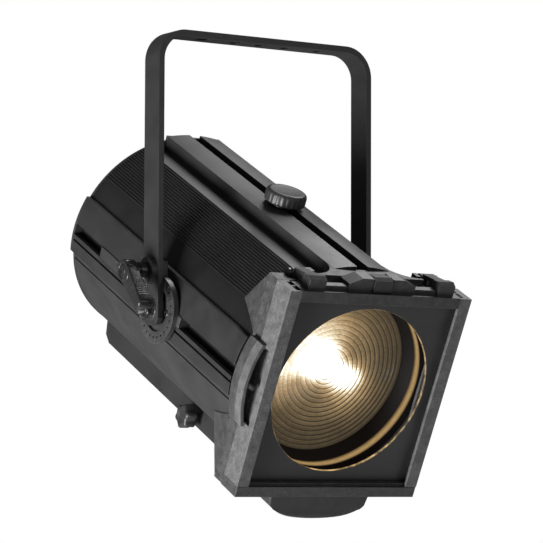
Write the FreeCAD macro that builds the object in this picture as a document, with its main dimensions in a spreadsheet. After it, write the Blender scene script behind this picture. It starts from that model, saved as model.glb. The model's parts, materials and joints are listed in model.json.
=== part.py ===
"""Theatre lantern with a stepped lens, hung from a flat-bar yoke.

Two frames are used, both in millimetres. The stored frame has its origin in the yoke's centre
hole, +Z up and the lens towards -Y. The lamp frame has its origin on the tilt axis, +Y towards
the rear of the lantern and +Z towards its top rail; it is turned nose down by rest_tilt.
"""
import FreeCAD, Part
import math
import os
import re

import Sketcher

Vector = FreeCAD.Vector
Rotation = FreeCAD.Rotation

SIZES = [
    # yoke
    ("side_gap", 0.9), ("yoke_rise", 274.6), ("yoke_strap", 28.0), ("yoke_thick", 6.0),
    ("yoke_corner", 31.0), ("yoke_foot", 15.5), ("yoke_chamfer", 6.0),
    ("hanging_hole", 13.0), ("side_hole", 12.0), ("near_holes", 62.0), ("far_holes", 140.0),
    # tilt joint and its clamp
    ("pivot_bolt", 10.0), ("pivot_nut", 18.5), ("pivot_nut_high", 6.5), ("pivot_tail", 7.5),
    ("washer_thick", 1.5), ("disc_size", 67.0), ("disc_thick", 5.6), ("disc_gap", 0.5),
    ("bar_front", 38.0), ("bar_back", 138.0),
    ("clamp_stud_size", 8.0), ("collar_size", 27.0), ("collar_thick", 6.0),
    ("lever_hub", 20.5), ("lever_hub_long", 14.0), ("lever_reach", 46.0), ("lever_thick", 13.0),
    ("lever_angle", 51.0), ("rest_tilt", 27.0),
    # fits
    ("running", 0.05), ("slack", 0.4), ("seam", 0.6),
    # housing
    ("body_length", 393.0), ("pivot_setback", 189.5), ("front_depth", 44.0),
    ("holder_depth", 26.4), ("front_inset", 5.5), ("front_top_set", 5.5), ("front_low_set", 0.5),
    ("fairing_inset", 11.0), ("fairing_high", 116.0), ("screw_out", 4.5),
    ("shell_size", 219.0), ("shell_wall", 3.0), ("rib_high", 1.0), ("rib_wide", 1.3),
    ("rib_count", 18.0), ("rib_pitch", 1.5), ("rib_start", 59.2),
    ("rail_stand", 1.5), ("rail_rise", 3.4), ("rail_width", 64.0), ("rail_shoulder", 108.0),
    ("rail_slot", 12.6), ("rail_groove", 26.0), ("rail_crown", 150.0),
    ("side_rail_stand", 4.5), ("side_rail_high", 37.5), ("side_rail_low", 23.0),
    ("side_slot", 12.0), ("side_slot_rise", 2.5), ("side_lip", 5.0), ("side_groove", 6.5),
    ("side_rail_deep", 15.5), ("bottom_width", 98.0),
    ("box_width", 100.0), ("box_drop", 9.5), ("box_start", 60.0), ("box_end", 387.0),
    ("box_wall", 2.0), ("plate_thick", 3.0), ("tie_rod", 5.0), ("tie_inset", 10.5), ("tie_rise", 52.0),
    ("guide_rod", 8.0), ("guide_spread", 124.0), ("guide_drop", 55.0),
    # lens and colour-frame holder
    ("lens_size", 178.0), ("lens_front", 52.0), ("lens_thick", 10.0), ("lens_steps", 14.0),
    ("tunnel_play", 9.0), ("throat_play", 3.5), ("baffle_play", 6.3), ("lens_play", 1.0),
    ("barrel_lip", 5.5), ("flange_out", 12.0), ("flange_high", 84.0), ("gate", 190.5),
    ("gate_thick", 2.5), ("gate_lip", 3.5),
    ("lip", 3.0), ("lip_cover", 4.0), ("cover_thick", 3.5), ("hinge_depth", 40.0),
    ("hinge_stand", 2.0), ("hinge_barrel", 12.0), ("hinge_pin", 4.0), ("arm_spread", 148.0),
    ("handle_width", 116.0), ("handle_drop", 28.0), ("handle_wall", 3.5),
    # carriage and optics
    ("carriage", 9.5), ("focus_forward", 75.0), ("focus_back", 110.0),
    ("reflector_size", 100.0), ("reflector_wall", 2.0), ("bulb", 28.0),
    ("knob_size", 42.0), ("knob_gap", 2.6), ("knob_high", 13.0), ("stud", 8.0),
    ("access_knob_size", 26.0), ("access_knob_long", 15.0), ("access_along", -14.0),
    ("access_play", 0.45), ("access_gap", 4.5),
]

# sizes that follow from others
FOLLOWING = {
    "clamp_rise": "(disc_size / 2 + clamp_stud_size / 2)",
    "front_width": "(shell_size - 2 * front_inset)",
    "side_rail_size": "(shell_size + 2 * side_rail_stand)",
    "side_rail_wall": "(side_rail_size / 2 - side_rail_deep)",
    "yoke_width": "(side_rail_size + 2 * (side_gap + disc_thick + disc_gap + yoke_thick))",
    "rail_top": "(shell_size / 2 + rail_stand)",
    "rail_peak": "(rail_top + rail_rise)",
    "knob_low": "(rail_peak + knob_gap)",
    "knob_top": "(knob_low + knob_high)",
    "box_low": "(shell_size / 2 + box_drop)",
    "front_top": "(shell_size / 2 - front_top_set)",
    "front_bottom": "(shell_size / 2 - front_low_set)",
    "hinge_rise": "(front_top + hinge_stand)",
    "handle_low": "(front_bottom + handle_drop)",
    "access_drop": "(sqrt((shell_size + 1) ^ 2 / 4 - (box_width / 2 + access_gap) ^ 2)"
                   " + access_knob_size / 2 + access_play)",
    "flange_size": "(front_width + 2 * flange_out)",
    "barrel_bore": "(lens_size + 2 * lens_play)",
    "barrel_neck": "(lens_size - 2 * barrel_lip)",
    "throat": "(lens_size + 2 * throat_play)",
    "clear_bore": "(lens_size + 2 * baffle_play)",
    "tunnel": "(lens_size + 2 * tunnel_play)",
    "gate_hole": "(lens_size - 2 * gate_lip)",
}

doc = FreeCAD.newDocument("Lantern")
sheet = doc.addObject("Spreadsheet::Sheet", "Dims")
for row, (alias, value) in enumerate(SIZES, 1):
    sheet.set(f"A{row}", alias)
    sheet.set(f"B{row}", str(value))
    sheet.setAlias(f"B{row}", alias)
doc.recompute()

ALIASES = re.compile(r"\b(" + "|".join(alias for alias, _ in SIZES) + r")\b")
DERIVED = re.compile(r"\b(" + "|".join(FOLLOWING) + r")\b")
PIECES = []

# places along the lamp axis, measured from the tilt axis
FRONT = "(-pivot_setback)"
REAR = "(body_length - pivot_setback)"
PLATE = "(body_length - plate_thick - pivot_setback)"
CAST = "(holder_depth + seam - pivot_setback)"
SHELL = "(front_depth - pivot_setback)"
# places across the lantern
ARM_OUT = "(yoke_width / 2)"
ARM_IN = "(yoke_width / 2 - yoke_thick)"
DISC_OUT = "(yoke_width / 2 - yoke_thick - disc_gap)"
DISC_IN = "(yoke_width / 2 - yoke_thick - disc_gap - disc_thick)"
SHELL_IN = "(shell_size / 2 - shell_wall)"
LEFT, RIGHT = -1, 1
SIDES = ((LEFT, "left"), (RIGHT, "right"))
SENSES = (LEFT, RIGHT)
HINGE = "(hinge_depth - pivot_setback)"


def bound(text):
    """Turn the size names in an expression into references to the sheet."""
    text = str(text)
    while DERIVED.search(text):
        text = DERIVED.sub(lambda found: FOLLOWING[found[0]], text)
    return ALIASES.sub(r"Dims.\1", text)


def size(text):
    """Give an expression's present value as a plain number."""
    value = sheet.evalExpression(bound(text))
    return float(getattr(value, "Value", value))


def bind(thing, **properties):
    """Tie properties of an object to expressions in the named sizes."""
    for name, text in properties.items():
        thing.setExpression(name, bound(text))


def put(thing, x="0", y="0", z="0"):
    """Tie an object's own place to three expressions."""
    for axis, text in zip("xyz", (x, y, z)):
        thing.setExpression(f"Placement.Base.{axis}", bound(text))
    return thing


# ---------------------------------------------------------------- primitives

def block(x, y, z):
    """Make a box from three (low, high) pairs of expressions."""
    thing = doc.addObject("Part::Box", "block")
    bind(thing, Length=f"{x[1]} - ({x[0]})", Width=f"{y[1]} - ({y[0]})", Height=f"{z[1]} - ({z[0]})")
    return put(thing, x[0], y[0], z[0])


TURNS = {"x": Rotation(Vector(0, 1, 0), 90), "y": Rotation(Vector(1, 0, 0), -90), "z": Rotation()}


def rod(axis, diameter, along, a="0", b="0"):
    """Make a cylinder along an axis; along is (low, high), a and b its place on the other two."""
    thing = doc.addObject("Part::Cylinder", "rod")
    thing.Placement = FreeCAD.Placement(Vector(), TURNS[axis])
    bind(thing, Radius=f"({diameter}) / 2", Height=f"{along[1]} - ({along[0]})")
    places = {"x": (along[0], a, b), "y": (a, along[0], b), "z": (a, b, along[0])}
    return put(thing, *places[axis])


def hexagon(axis, across, along, a="0", b="0"):
    """Make a hexagonal bar, given across its corners."""
    thing = doc.addObject("Part::Prism", "hexagon")
    thing.Polygon = 6
    thing.Placement = FreeCAD.Placement(Vector(), TURNS[axis])
    bind(thing, Circumradius=f"({across}) / 2", Height=f"{along[1]} - ({along[0]})")
    places = {"x": (along[0], a, b), "y": (a, along[0], b), "z": (a, b, along[0])}
    return put(thing, *places[axis])


def ball(diameter, x="0", y="0", z="0"):
    """Make a sphere."""
    thing = doc.addObject("Part::Sphere", "ball")
    bind(thing, Radius=f"({diameter}) / 2")
    return put(thing, x, y, z)


def fuse(*shapes):
    """Join shapes that touch into one solid."""
    thing = doc.addObject("Part::MultiFuse", "fuse")
    thing.Shapes = list(shapes)
    thing.Refine = True
    return thing


def group(*shapes):
    """Keep shapes together as separate solids."""
    thing = doc.addObject("Part::Compound", "group")
    thing.Links = list(shapes)
    return thing


def common(*shapes):
    """Keep only what all shapes share."""
    thing = doc.addObject("Part::MultiCommon", "common")
    thing.Shapes = list(shapes)
    return thing


def cut(base, *tools):
    """Take the tools away from the base, one after the other."""
    for tool in tools:
        thing = doc.addObject("Part::Cut", "cut")
        thing.Base = base
        thing.Tool = tool
        base = thing
    return base


def ring(axis, outer, inner, along, a="0", b="0"):
    """Make a tube along an axis."""
    return cut(rod(axis, outer, along, a, b), rod(axis, inner, along, a, b))


# ---------------------------------------------------------------- bodies made from sketches

PLANES = {"XY": ("XY_Plane", 1), "XZ": ("XZ_Plane", -1), "YZ": ("YZ_Plane", 1)}


def new_body():
    """Start a body."""
    return doc.addObject("PartDesign::Body", "body")


def origin_part(body, role):
    """Find a plane or an axis of a body's own origin."""
    return next(part for part in body.Origin.OriginFeatures if part.Role == role)


def sketch_on(body, plane, at="0"):
    """Attach a sketch to an origin plane, moved along the plane's axis to the place at."""
    role, sense = PLANES[plane]
    sketch = body.newObject("Sketcher::SketchObject", "sketch")
    sketch.AttachmentSupport = [(origin_part(body, role), "")]
    sketch.MapMode = "FlatFace"
    sketch.setExpression("AttachmentOffset.Base.z", bound(f"{sense} * ({at})"))
    return sketch


def fix(sketch, geometry, point, u, v):
    """Tie a point of the sketch to two expressions."""
    for kind, text in (("DistanceX", u), ("DistanceY", v)):
        index = sketch.addConstraint(Sketcher.Constraint(kind, -1, 1, geometry, point, size(text)))
        sketch.setExpression(f"Constraints[{index}]", bound(text))


def arc_between(start, end, radius):
    """Work out an arc of a signed radius; a positive one turns anticlockwise."""
    chord = end - start
    half = chord.Length / 2
    normal = Vector(-chord.y, chord.x, 0).normalize()
    rise = math.sqrt(max(radius * radius - half * half, 0.0))
    centre = (start + end) * 0.5 + normal * math.copysign(rise, radius)
    first, last = (start, end) if radius > 0 else (end, start)
    angles = [math.atan2(p.y - centre.y, p.x - centre.x) for p in (first, last)]
    if angles[1] < angles[0]:
        angles[1] += 2 * math.pi
    return Part.ArcOfCircle(Part.Circle(centre, Vector(0, 0, 1), abs(radius)), *angles)


def outline(sketch, points):
    """Close a loop through points (u, v) or (u, v, radius); a radius bends the next stretch."""
    spots = [Vector(size(p[0]), size(p[1]), 0) for p in points]
    base = sketch.GeometryCount
    ends = []
    for i, point in enumerate(points):
        start, end = spots[i], spots[(i + 1) % len(points)]
        if len(point) == 3:
            radius = size(point[2])
            sketch.addGeometry(arc_between(start, end, radius))
            ends.append((1, 2) if radius > 0 else (2, 1))
        else:
            sketch.addGeometry(Part.LineSegment(start, end))
            ends.append((1, 2))
    for i in range(len(points)):
        j = (i + 1) % len(points)
        sketch.addConstraint(Sketcher.Constraint("Coincident", base + i, ends[i][1], base + j, ends[j][0]))
    for i, point in enumerate(points):
        fix(sketch, base + i, ends[i][0], point[0], point[1])
        if len(point) == 3:
            index = sketch.addConstraint(Sketcher.Constraint("Radius", base + i, abs(size(point[2]))))
            sketch.setExpression(f"Constraints[{index}]", bound(f"abs({point[2]})"))
    return sketch


def hole(sketch, u, v, diameter):
    """Add a circle to a sketch."""
    centre = Vector(size(u), size(v), 0)
    geometry = sketch.addGeometry(Part.Circle(centre, Vector(0, 0, 1), size(diameter) / 2))
    fix(sketch, geometry, 3, u, v)
    index = sketch.addConstraint(Sketcher.Constraint("Diameter", geometry, size(diameter)))
    sketch.setExpression(f"Constraints[{index}]", bound(diameter))
    return sketch


def pad(body, sketch, length, both_ways=False, backwards=False):
    """Extrude a sketch; from an XZ plane backwards means towards +Y."""
    feature = body.newObject("PartDesign::Pad", "pad")
    feature.Profile = sketch
    feature.SideType = "Symmetric" if both_ways else "One side"
    feature.Reversed = backwards
    bind(feature, Length=length)
    doc.recompute()
    return feature


def pocket(body, sketch, length=None, both_ways=False, backwards=False):
    """Cut a sketch into a body and make sure that it took something away."""
    before = body.Shape.Volume
    feature = body.newObject("PartDesign::Pocket", "pocket")
    feature.Profile = sketch
    feature.SideType = "Symmetric" if both_ways else "One side"
    feature.Reversed = backwards
    if length is None:
        feature.Type = "ThroughAll"
    else:
        bind(feature, Length=length)
    doc.recompute()
    if body.Shape.Volume > before - 0.01:
        raise RuntimeError(f"a pocket in {body.Label} cuts nothing")
    return feature


def around(body, feature, role, count, angle="360"):
    """Repeat a feature round one of the body's axes."""
    pattern = body.newObject("PartDesign::PolarPattern", "pattern")
    pattern.Originals = [feature]
    pattern.Axis = (origin_part(body, role), [""])
    bind(pattern, Occurrences=count, Angle=f"({angle}) * 1 deg")
    body.Tip = pattern
    doc.recompute()
    return pattern


def extruded(plane, points, along, *circles):
    """Make a body from one outline, extruded over (low, high), with round holes through it."""
    body = new_body()
    sketch = sketch_on(body, plane, along[0])
    outline(sketch, points)
    for circle in circles:
        hole(sketch, *circle)
    pad(body, sketch, f"{along[1]} - ({along[0]})", backwards=plane == "XZ")
    return body


def turned(points):
    """Make a body by turning an outline of (y, radius) points about the lamp axis."""
    body = new_body()
    sketch = outline(sketch_on(body, "YZ"), points)
    feature = body.newObject("PartDesign::Revolution", "turning")
    feature.Profile = sketch
    feature.ReferenceAxis = (origin_part(body, "Y_Axis"), [""])
    feature.Angle = 360
    doc.recompute()
    return body


SEATED = ("PartDesign::Body", "Part::Boolean", "Part::MultiFuse", "Part::MultiCommon", "Part::Compound")


def keep(label, thing, lamp=True):
    """Name a finished piece and seat it in the lamp frame or on the yoke."""
    if not any(thing.isDerivedFrom(kind) for kind in SEATED):
        thing = group(thing)
    thing.Label = label
    thing.Placement = FreeCAD.Placement(Vector(), Rotation(Vector(1, 0, 0), 1 if lamp else 0))
    put(thing, z="-yoke_rise")
    if lamp:
        thing.setExpression("Placement.Rotation.Angle", bound("rest_tilt"))
    PIECES.append(thing)


def radial(radius, angle):
    """Give the two coordinates of a point at a radius and an angle in degrees."""
    return f"({radius}) * cos({angle})", f"({radius}) * sin({angle})"


def reach(diameter, height):
    """Give how far out a circle about the lamp axis is at a height."""
    return f"sqrt(({diameter}) ^ 2 / 4 - ({height}) ^ 2)"


def mirrored(side, points):
    """Put an outline on the given side of the lantern; bends change their sense with it."""
    flip = []
    for point in points:
        bend = (f"{side} * ({point[2]})",) if len(point) == 3 else ()
        flip.append((f"{side} * ({point[0]})", point[1], *bend))
    return flip


def outward(side, low, high):
    """Give the (low, high) pair of a stretch that lies low to high away from the middle."""
    return (low, high) if side == RIGHT else (f"-({high})", f"-({low})")


# ---------------------------------------------------------------- yoke and clamp

def make_yoke():
    """Bend the flat-bar yoke, drill its crown and both arms, and trim the arms' feet."""
    w, t, r = ARM_OUT, "yoke_thick", "yoke_corner"
    foot = "(-yoke_rise - yoke_foot)"
    top, under = f"({t} / 2)", f"(-{t} / 2)"
    inner = f"({r} - {t})"
    points = [
        (w, foot), (w, f"{top} - {r}", r), (f"{w} - {r}", top), (f"{r} - {w}", top, r),
        (f"-{w}", f"{top} - {r}"), (f"-{w}", foot), (f"{t} - {w}", foot),
        (f"{t} - {w}", f"{top} - {r}", f"-{inner}"), (f"{r} - {w}", under),
        (f"{w} - {r}", under, f"-{inner}"), (f"{w} - {t}", f"{top} - {r}"), (f"{w} - {t}", foot),
    ]
    body = new_body()
    pad(body, outline(sketch_on(body, "XZ"), points), "yoke_strap", both_ways=True)
    crown = sketch_on(body, "XY")
    hole(crown, "0", "0", "hanging_hole")
    for spread in ("near_holes", "far_holes"):
        for side in (LEFT, RIGHT):
            hole(crown, f"{side} * {spread} / 2", "0", "side_hole")
    pocket(body, crown, both_ways=True)
    arms = hole(sketch_on(body, "YZ"), "0", "-yoke_rise", "pivot_bolt + 2 * running")
    pocket(body, arms, both_ways=True)
    stud = hole(sketch_on(body, "YZ"), "0", "clamp_rise - yoke_rise", "clamp_stud_size + 2 * running")
    pocket(body, stud)
    edges = []
    for number, edge in enumerate(body.Shape.Edges, 1):
        low, far = edge.BoundBox.ZMax, abs(edge.CenterOfMass.y)
        if low < size(foot) + 0.1 and far > size("yoke_strap / 2") - 0.1:
            edges.append(f"Edge{number}")
    drilled = body.Tip
    chamfer = body.newObject("PartDesign::Chamfer", "chamfer")
    chamfer.Base = (drilled, edges)
    bind(chamfer, Size="yoke_chamfer")
    body.Tip = chamfer
    body.Label = "yoke"
    PIECES.append(body)


def make_pivots():
    """Make the bolts that the discs turn on, with their nuts and washers."""
    nuts, washers = [], []
    for side, word in SIDES:
        span = outward(side, DISC_IN, f"{ARM_OUT} + washer_thick + pivot_nut_high + pivot_tail")
        keep(f"pivot_bolt_{word}", rod("x", "pivot_bolt", span), lamp=False)
        washer = outward(side, ARM_OUT, f"{ARM_OUT} + washer_thick")
        washers.append(ring("x", "pivot_nut + 3", "pivot_bolt + 2 * running", washer))
        nut = outward(side, f"{ARM_OUT} + washer_thick", f"{ARM_OUT} + washer_thick + pivot_nut_high")
        bore = rod("x", "pivot_bolt + 2 * running", nut)
        nuts.append(cut(hexagon("x", "pivot_nut", nut), bore))
    keep("pivot_nuts", group(*nuts), lamp=False)
    keep("pivot_washers", group(*washers), lamp=False)


def make_clamp():
    """Make the tilt clamp on the left arm: stud, collar, brake pad and the lever."""
    at = ("0", "clamp_rise")
    collar = f"({ARM_OUT} + collar_thick)"
    hub = f"({collar} + lever_hub_long)"
    face = f"({hub} + lever_thick)"
    keep("clamp_stud", rod("x", "clamp_stud_size", (f"-({face} - 4)", f"-{DISC_IN}"), *at), lamp=False)
    plate = ring("x", "collar_size", "clamp_stud_size + 2 * running", (f"-{collar}", f"-{ARM_OUT}"), *at)
    keep("clamp_collar", plate, lamp=False)
    pad_x = (f"-({ARM_IN} - slack / 2)", f"-{DISC_IN}")
    shoe = block(pad_x, ("-yoke_strap / 2 + 2", "yoke_strap / 2 - 2"), ("0", "clamp_rise + 9"))
    shoe = cut(shoe, rod("x", "disc_size + 2 * slack", pad_x),
               rod("x", "clamp_stud_size + 2 * running", pad_x, *at))
    keep("clamp_pad", shoe, lamp=False)

    arm = new_body()
    sketch = sketch_on(arm, "YZ", f"-{face}")
    along, across = radial("lever_reach", "lever_angle"), radial("lever_hub / 2", "lever_angle")
    tip = "lever_hub * 0.3"
    side_y, side_z = f"{across[1]}", f"{across[0]}"
    points = [
        (f"-({side_y})", f"clamp_rise + {side_z}"),
        (f"{side_y}", f"clamp_rise - ({side_z})"),
        (f"-({along[0]}) + {tip} * sin(lever_angle)", f"clamp_rise - ({along[1]}) - {tip} * cos(lever_angle)"),
        (f"-({along[0]}) - {tip} * sin(lever_angle)", f"clamp_rise - ({along[1]}) + {tip} * cos(lever_angle)"),
    ]
    outline(sketch, points)
    pad(arm, sketch, "lever_thick")
    boss = rod("x", "lever_hub", (f"-{face}", f"-({collar} + slack / 2)"), *at)
    seat = rod("x", "lever_hub * 0.7", (f"-{face}", f"-({face} - 3)"), *at)
    bore = rod("x", "clamp_stud_size + 2 * running", (f"-{face}", f"-{collar}"), *at)
    keep("clamp_lever", cut(fuse(arm, boss), seat, bore), lamp=False)
    head = rod("x", "lever_hub * 0.6", (f"-{face}", f"-({face} - 2.8)"), *at)
    keep("clamp_lever_screw", cut(head, hexagon("x", "5", (f"-{face}", f"-({face} - 1.8)"), *at)), lamp=False)


# ---------------------------------------------------------------- tilt discs and balance bars

def make_tilt_discs():
    """Make the graduated discs, the bars that slide in the side rails, and their screws."""
    screws = []
    for side, word in SIDES:
        inner, outer = outward(side, DISC_IN, DISC_OUT)
        body = new_body()
        start = DISC_OUT if side == RIGHT else f"-{DISC_OUT}"
        face = sketch_on(body, "YZ", start)
        hole(face, "0", "0", "disc_size")
        pad(body, face, "disc_thick", backwards=side == RIGHT)
        groove = sketch_on(body, "YZ", start)
        hole(groove, "0", "0", "disc_size * 0.66")
        hole(groove, "0", "0", "disc_size * 0.33")
        pocket(body, groove, "disc_thick * 0.55", backwards=side == LEFT)
        mark = hole(sketch_on(body, "YZ", start), "disc_size * 0.41", "0", "2.6")
        index = pocket(body, mark, "disc_thick * 0.4", backwards=side == LEFT)
        around(body, index, "X_Axis", "24")
        bores = hole(sketch_on(body, "YZ", start), "0", "0", "pivot_bolt + 2 * running")
        for reach_y in ("disc_size * 0.25", "-disc_size * 0.25"):
            hole(bores, reach_y, "side_slot_rise", "4.2")
        pocket(body, bores, backwards=side == LEFT)
        keep(f"tilt_disc_{word}", body)

        lip = f"(side_rail_size / 2 - side_lip)"
        groove_floor = f"({lip} - side_groove)"
        head = outward(side, f"{groove_floor} + slack", f"{lip} - slack")
        neck = outward(side, f"{lip} - slack - 1", DISC_IN)
        mid, half = "side_slot_rise", "side_slot / 2"
        long = ("-bar_front", "bar_back")
        bar = fuse(
            block(neck, long, (f"{mid} - {half} + slack", f"{mid} + {half} - slack")),
            block(head, long, (f"{mid} - {half} - 5 + slack", f"{mid} + {half} + 5 - slack")))
        drill = outward(side, f"{lip} - slack - 3", DISC_IN)
        taps = [rod("x", "4", drill, f"{turn} * disc_size * 0.25", mid) for turn in (1, -1)]
        keep(f"slide_bar_{word}", cut(bar, *taps))
        for turn in (1, -1):
            at = (f"{turn} * disc_size * 0.25", mid)
            floor = f"({DISC_OUT} - disc_thick * 0.55)"
            shank = rod("x", "3.9", outward(side, f"{lip} - slack - 2.8", floor), *at)
            cap = rod("x", "6.6", outward(side, floor, f"{floor} + 2.2"), *at)
            screws.append(fuse(shank, cap))
    keep("disc_screws", group(*screws))


# ---------------------------------------------------------------- housing extrusions

def make_top_rail():
    """Extrude the top rail, with its crowned cap, T-slot and shoulders, and mill the stud slot."""
    half, neck, deep = "rail_width / 2", "rail_slot / 2", "rail_groove / 2"
    floor, foot = "(rail_top - 10.5)", "(rail_top - 14)"
    right = [
        (neck, "rail_top - 2.5"), (neck, "rail_peak", "-rail_crown"), (half, "rail_top"),
        (half, "rail_top - 4"), (f"{half} - 1.3", foot), ("rail_shoulder / 2", f"{foot} - 1.2"),
        ("rail_shoulder / 2", f"{foot} - 5"), ("rail_shoulder / 2 - 12", f"{foot} - 5"),
        ("rail_shoulder / 2 - 30", f"{foot} - 1.2"),
    ]
    left = [(f"-({half})", "rail_top", "-rail_crown") if i == 2 else (f"-({p[0]})", p[1])
            for i, p in enumerate(right)]
    points = [(deep, floor), (deep, "rail_top - 2.5"), *right, *reversed(left),
              (f"-{deep}", "rail_top - 2.5"), (f"-{deep}", floor)]
    body = extruded("XZ", points, (SHELL, PLATE))
    slot = sketch_on(body, "XY")
    width = "(stud / 2 + slack)"
    rear = "(carriage + focus_back + stud / 2 + slack)"
    front = "(carriage - focus_forward - stud / 2 - slack)"
    outline(slot, [(width, front), (width, rear), (f"-{width}", rear), (f"-{width}", front)])
    pocket(body, slot, backwards=True)
    keep("top_rail", body)


def make_shells():
    """Extrude the ribbed upper shells, the side rails and the lower shells, left and right."""
    outer, inner = "shell_size / 2", SHELL_IN
    for side, word in SIDES:
        top = f"(rail_shoulder / 2 + slack / 2)"
        low = f"(side_rail_high + slack / 2)"
        body = new_body()
        sketch = sketch_on(body, "XZ", SHELL)
        points = [
            (reach("shell_size", low), low, outer), (top, reach("shell_size", top)),
            (top, reach(f"2 * {inner}", top), f"-({inner})"), (reach(f"2 * {inner}", low), low),
        ]
        outline(sketch, mirrored(side, points))
        pad(body, sketch, f"{PLATE} - ({SHELL})", backwards=True)
        rib = sketch_on(body, "XZ", SHELL)
        edge = "(rib_wide / 2)"
        a, b = radial(f"({outer} - 1)", "rib_start"), radial(f"({outer} + rib_high)", "rib_start")
        shift = (f"{edge} * sin(rib_start)", f"{edge} * cos(rib_start)")
        corners = [
            (f"{a[0]} + {shift[0]}", f"{a[1]} - {shift[1]}"), (f"{b[0]} + {shift[0]}", f"{b[1]} - {shift[1]}"),
            (f"{b[0]} - {shift[0]}", f"{b[1]} + {shift[1]}"), (f"{a[0]} - {shift[0]}", f"{a[1]} + {shift[1]}"),
        ]
        outline(rib, mirrored(side, corners))
        strip = pad(body, rib, f"{PLATE} - ({SHELL})", backwards=True)
        pattern = around(body, strip, "Y_Axis", "rib_count", "rib_pitch * (rib_count - 1)")
        if side == LEFT:
            pattern.Reversed = True
        doc.recompute()
        keep(f"upper_shell_{word}", body)

        size_out, wall = "side_rail_size", "side_rail_wall"
        high, low = "side_rail_high", "(-side_rail_low)"
        slot_top, slot_low = "(side_slot_rise + side_slot / 2)", "(side_slot_rise - side_slot / 2)"
        lip = "(side_rail_size / 2 - side_lip)"
        floor = f"({lip} - side_groove)"
        bend = "-side_rail_size / 2"
        points = [
            (wall, high), (reach(size_out, high), high, bend), (reach(size_out, slot_top), slot_top),
            (lip, slot_top), (lip, f"{slot_top} + 5"), (floor, f"{slot_top} + 5"),
            (floor, f"{slot_low} - 5"), (lip, f"{slot_low} - 5"), (lip, slot_low),
            (reach(size_out, slot_low), slot_low, bend), (reach(size_out, "-8"), "-8"),
            (f"{lip} + 1", "-8"), (f"{lip} + 1", "-10.4"),
            (reach(size_out, "-10.4"), "-10.4", bend), (reach(size_out, low), low), (wall, low),
        ]
        keep(f"side_rail_{word}", extruded("XZ", mirrored(side, points), (SHELL, PLATE)))

        start = "(-side_rail_low - slack / 2)"
        line, under = "(-side_rail_low - 6)", "(-side_rail_low - 8)"
        edge, size_low = "(bottom_width / 2 + slack / 2)", "(shell_size + 1)"
        bend = f"-{size_low} / 2"
        points = [
            (reach(size_low, start), start, bend), (reach(size_low, line), line),
            (reach(f"{size_low} - 3", line), line), (reach(f"{size_low} - 3", under), under),
            (reach(size_low, under), under, bend), (edge, f"-{reach(size_low, edge)}"),
            (edge, f"-{reach(f'2 * {inner}', edge)}", inner), (reach(f"2 * {inner}", start), start),
        ]
        keep(f"lower_shell_{word}", extruded("XZ", mirrored(side, points), (SHELL, PLATE)))


# ---------------------------------------------------------------- underside and rear

def make_underside():
    """Make the bottom panel, the terminal box under it, and what the box holds."""
    half = "bottom_width / 2"
    top = f"(-{reach('shell_size + 1', half)})"
    panel_low = f"({top} - 0.3)"
    keep("bottom_panel", block((f"-{half}", half), (SHELL, PLATE), (panel_low, f"{panel_low} + plate_thick")))

    start, end = "(box_start - pivot_setback)", "(box_end - pivot_setback)"
    roof, low, wall = f"({panel_low} - 0.2)", "(-box_low)", "box_wall"
    body = new_body()
    side_view = sketch_on(body, "YZ")
    outline(side_view, [(start, roof), (start, f"{low} + 6"), (f"{start} + 6", low), (f"{end} - 14", low),
                        (f"{end} - 4", f"{low} + 6"), (end, roof)])
    pad(body, side_view, "box_width", both_ways=True)
    hollow = sketch_on(body, "YZ")
    outline(hollow, [(f"{start} + {wall}", f"{roof} + 1"), (f"{start} + {wall}", f"{low} + 7"),
                     (f"{start} + 7", f"{low} + {wall}"), (f"{end} - 15", f"{low} + {wall}"),
                     (f"{end} - 6", f"{low} + 7"), (f"{end} - {wall} - 0.5", f"{roof} + 1")])
    pocket(body, hollow, f"box_width - 2 * {wall}", both_ways=True)
    gland_at = ("box_width / 4", f"({roof} + {low}) / 2")
    exit_hole = sketch_on(body, "XZ", end)
    hole(exit_hole, *gland_at, "12")
    pocket(body, exit_hole, "14", backwards=True)
    knob_hole = sketch_on(body, "YZ", "-box_width / 2")
    hole(knob_hole, "access_along", "(-access_drop)", "6 + 2 * running")
    pocket(body, knob_hole, f"{wall} + 1", backwards=True)
    keep("terminal_box", body)

    face = f"({end} + slack / 2)"
    gland = fuse(rod("y", "11.6", (f"{end} - 12", face), *gland_at),
                 hexagon("y", "17.5", (face, f"{face} + 5"), *gland_at),
                 rod("y", "14", (f"{face} + 5", f"{face} + 15"), *gland_at))
    keep("cable_gland", cut(gland, rod("y", "8", (f"{end} - 12", f"{face} + 15"), *gland_at)))
    floor = f"({low} + {wall})"
    rail = block(("-24", "24"), ("70", "104"), (floor, f"{floor} + 13"))
    slots = [rod("y", "5", ("70", "104"), f"{place}", f"{floor} + 9") for place in ("-16", "0", "16")]
    keep("terminal_block", cut(rail, *slots))


def make_access_knob():
    """Make the lobed thumb screw on the side of the terminal box."""
    at = ("access_along", "(-access_drop)")
    face = "(box_width / 2 + access_gap)"
    body = new_body()
    head = sketch_on(body, "YZ", f"-({face} + access_knob_long)")
    hole(head, *at, "access_knob_size")
    pad(body, head, "access_knob_long")
    shank = hole(sketch_on(body, "YZ", f"-({face} + 1)"), *at, "6")
    pad(body, shank, "access_gap + 9")
    flutes = [rod("x", "8", (f"-({face} + access_knob_long)", f"-({face} + 4)"),
                  f"{at[0]} + (access_knob_size / 2 + 1.6) * cos({60 * i + 15})",
                  f"{at[1]} + (access_knob_size / 2 + 1.6) * sin({60 * i + 15})") for i in range(6)]
    keep("access_knob", cut(body, *flutes))


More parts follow.
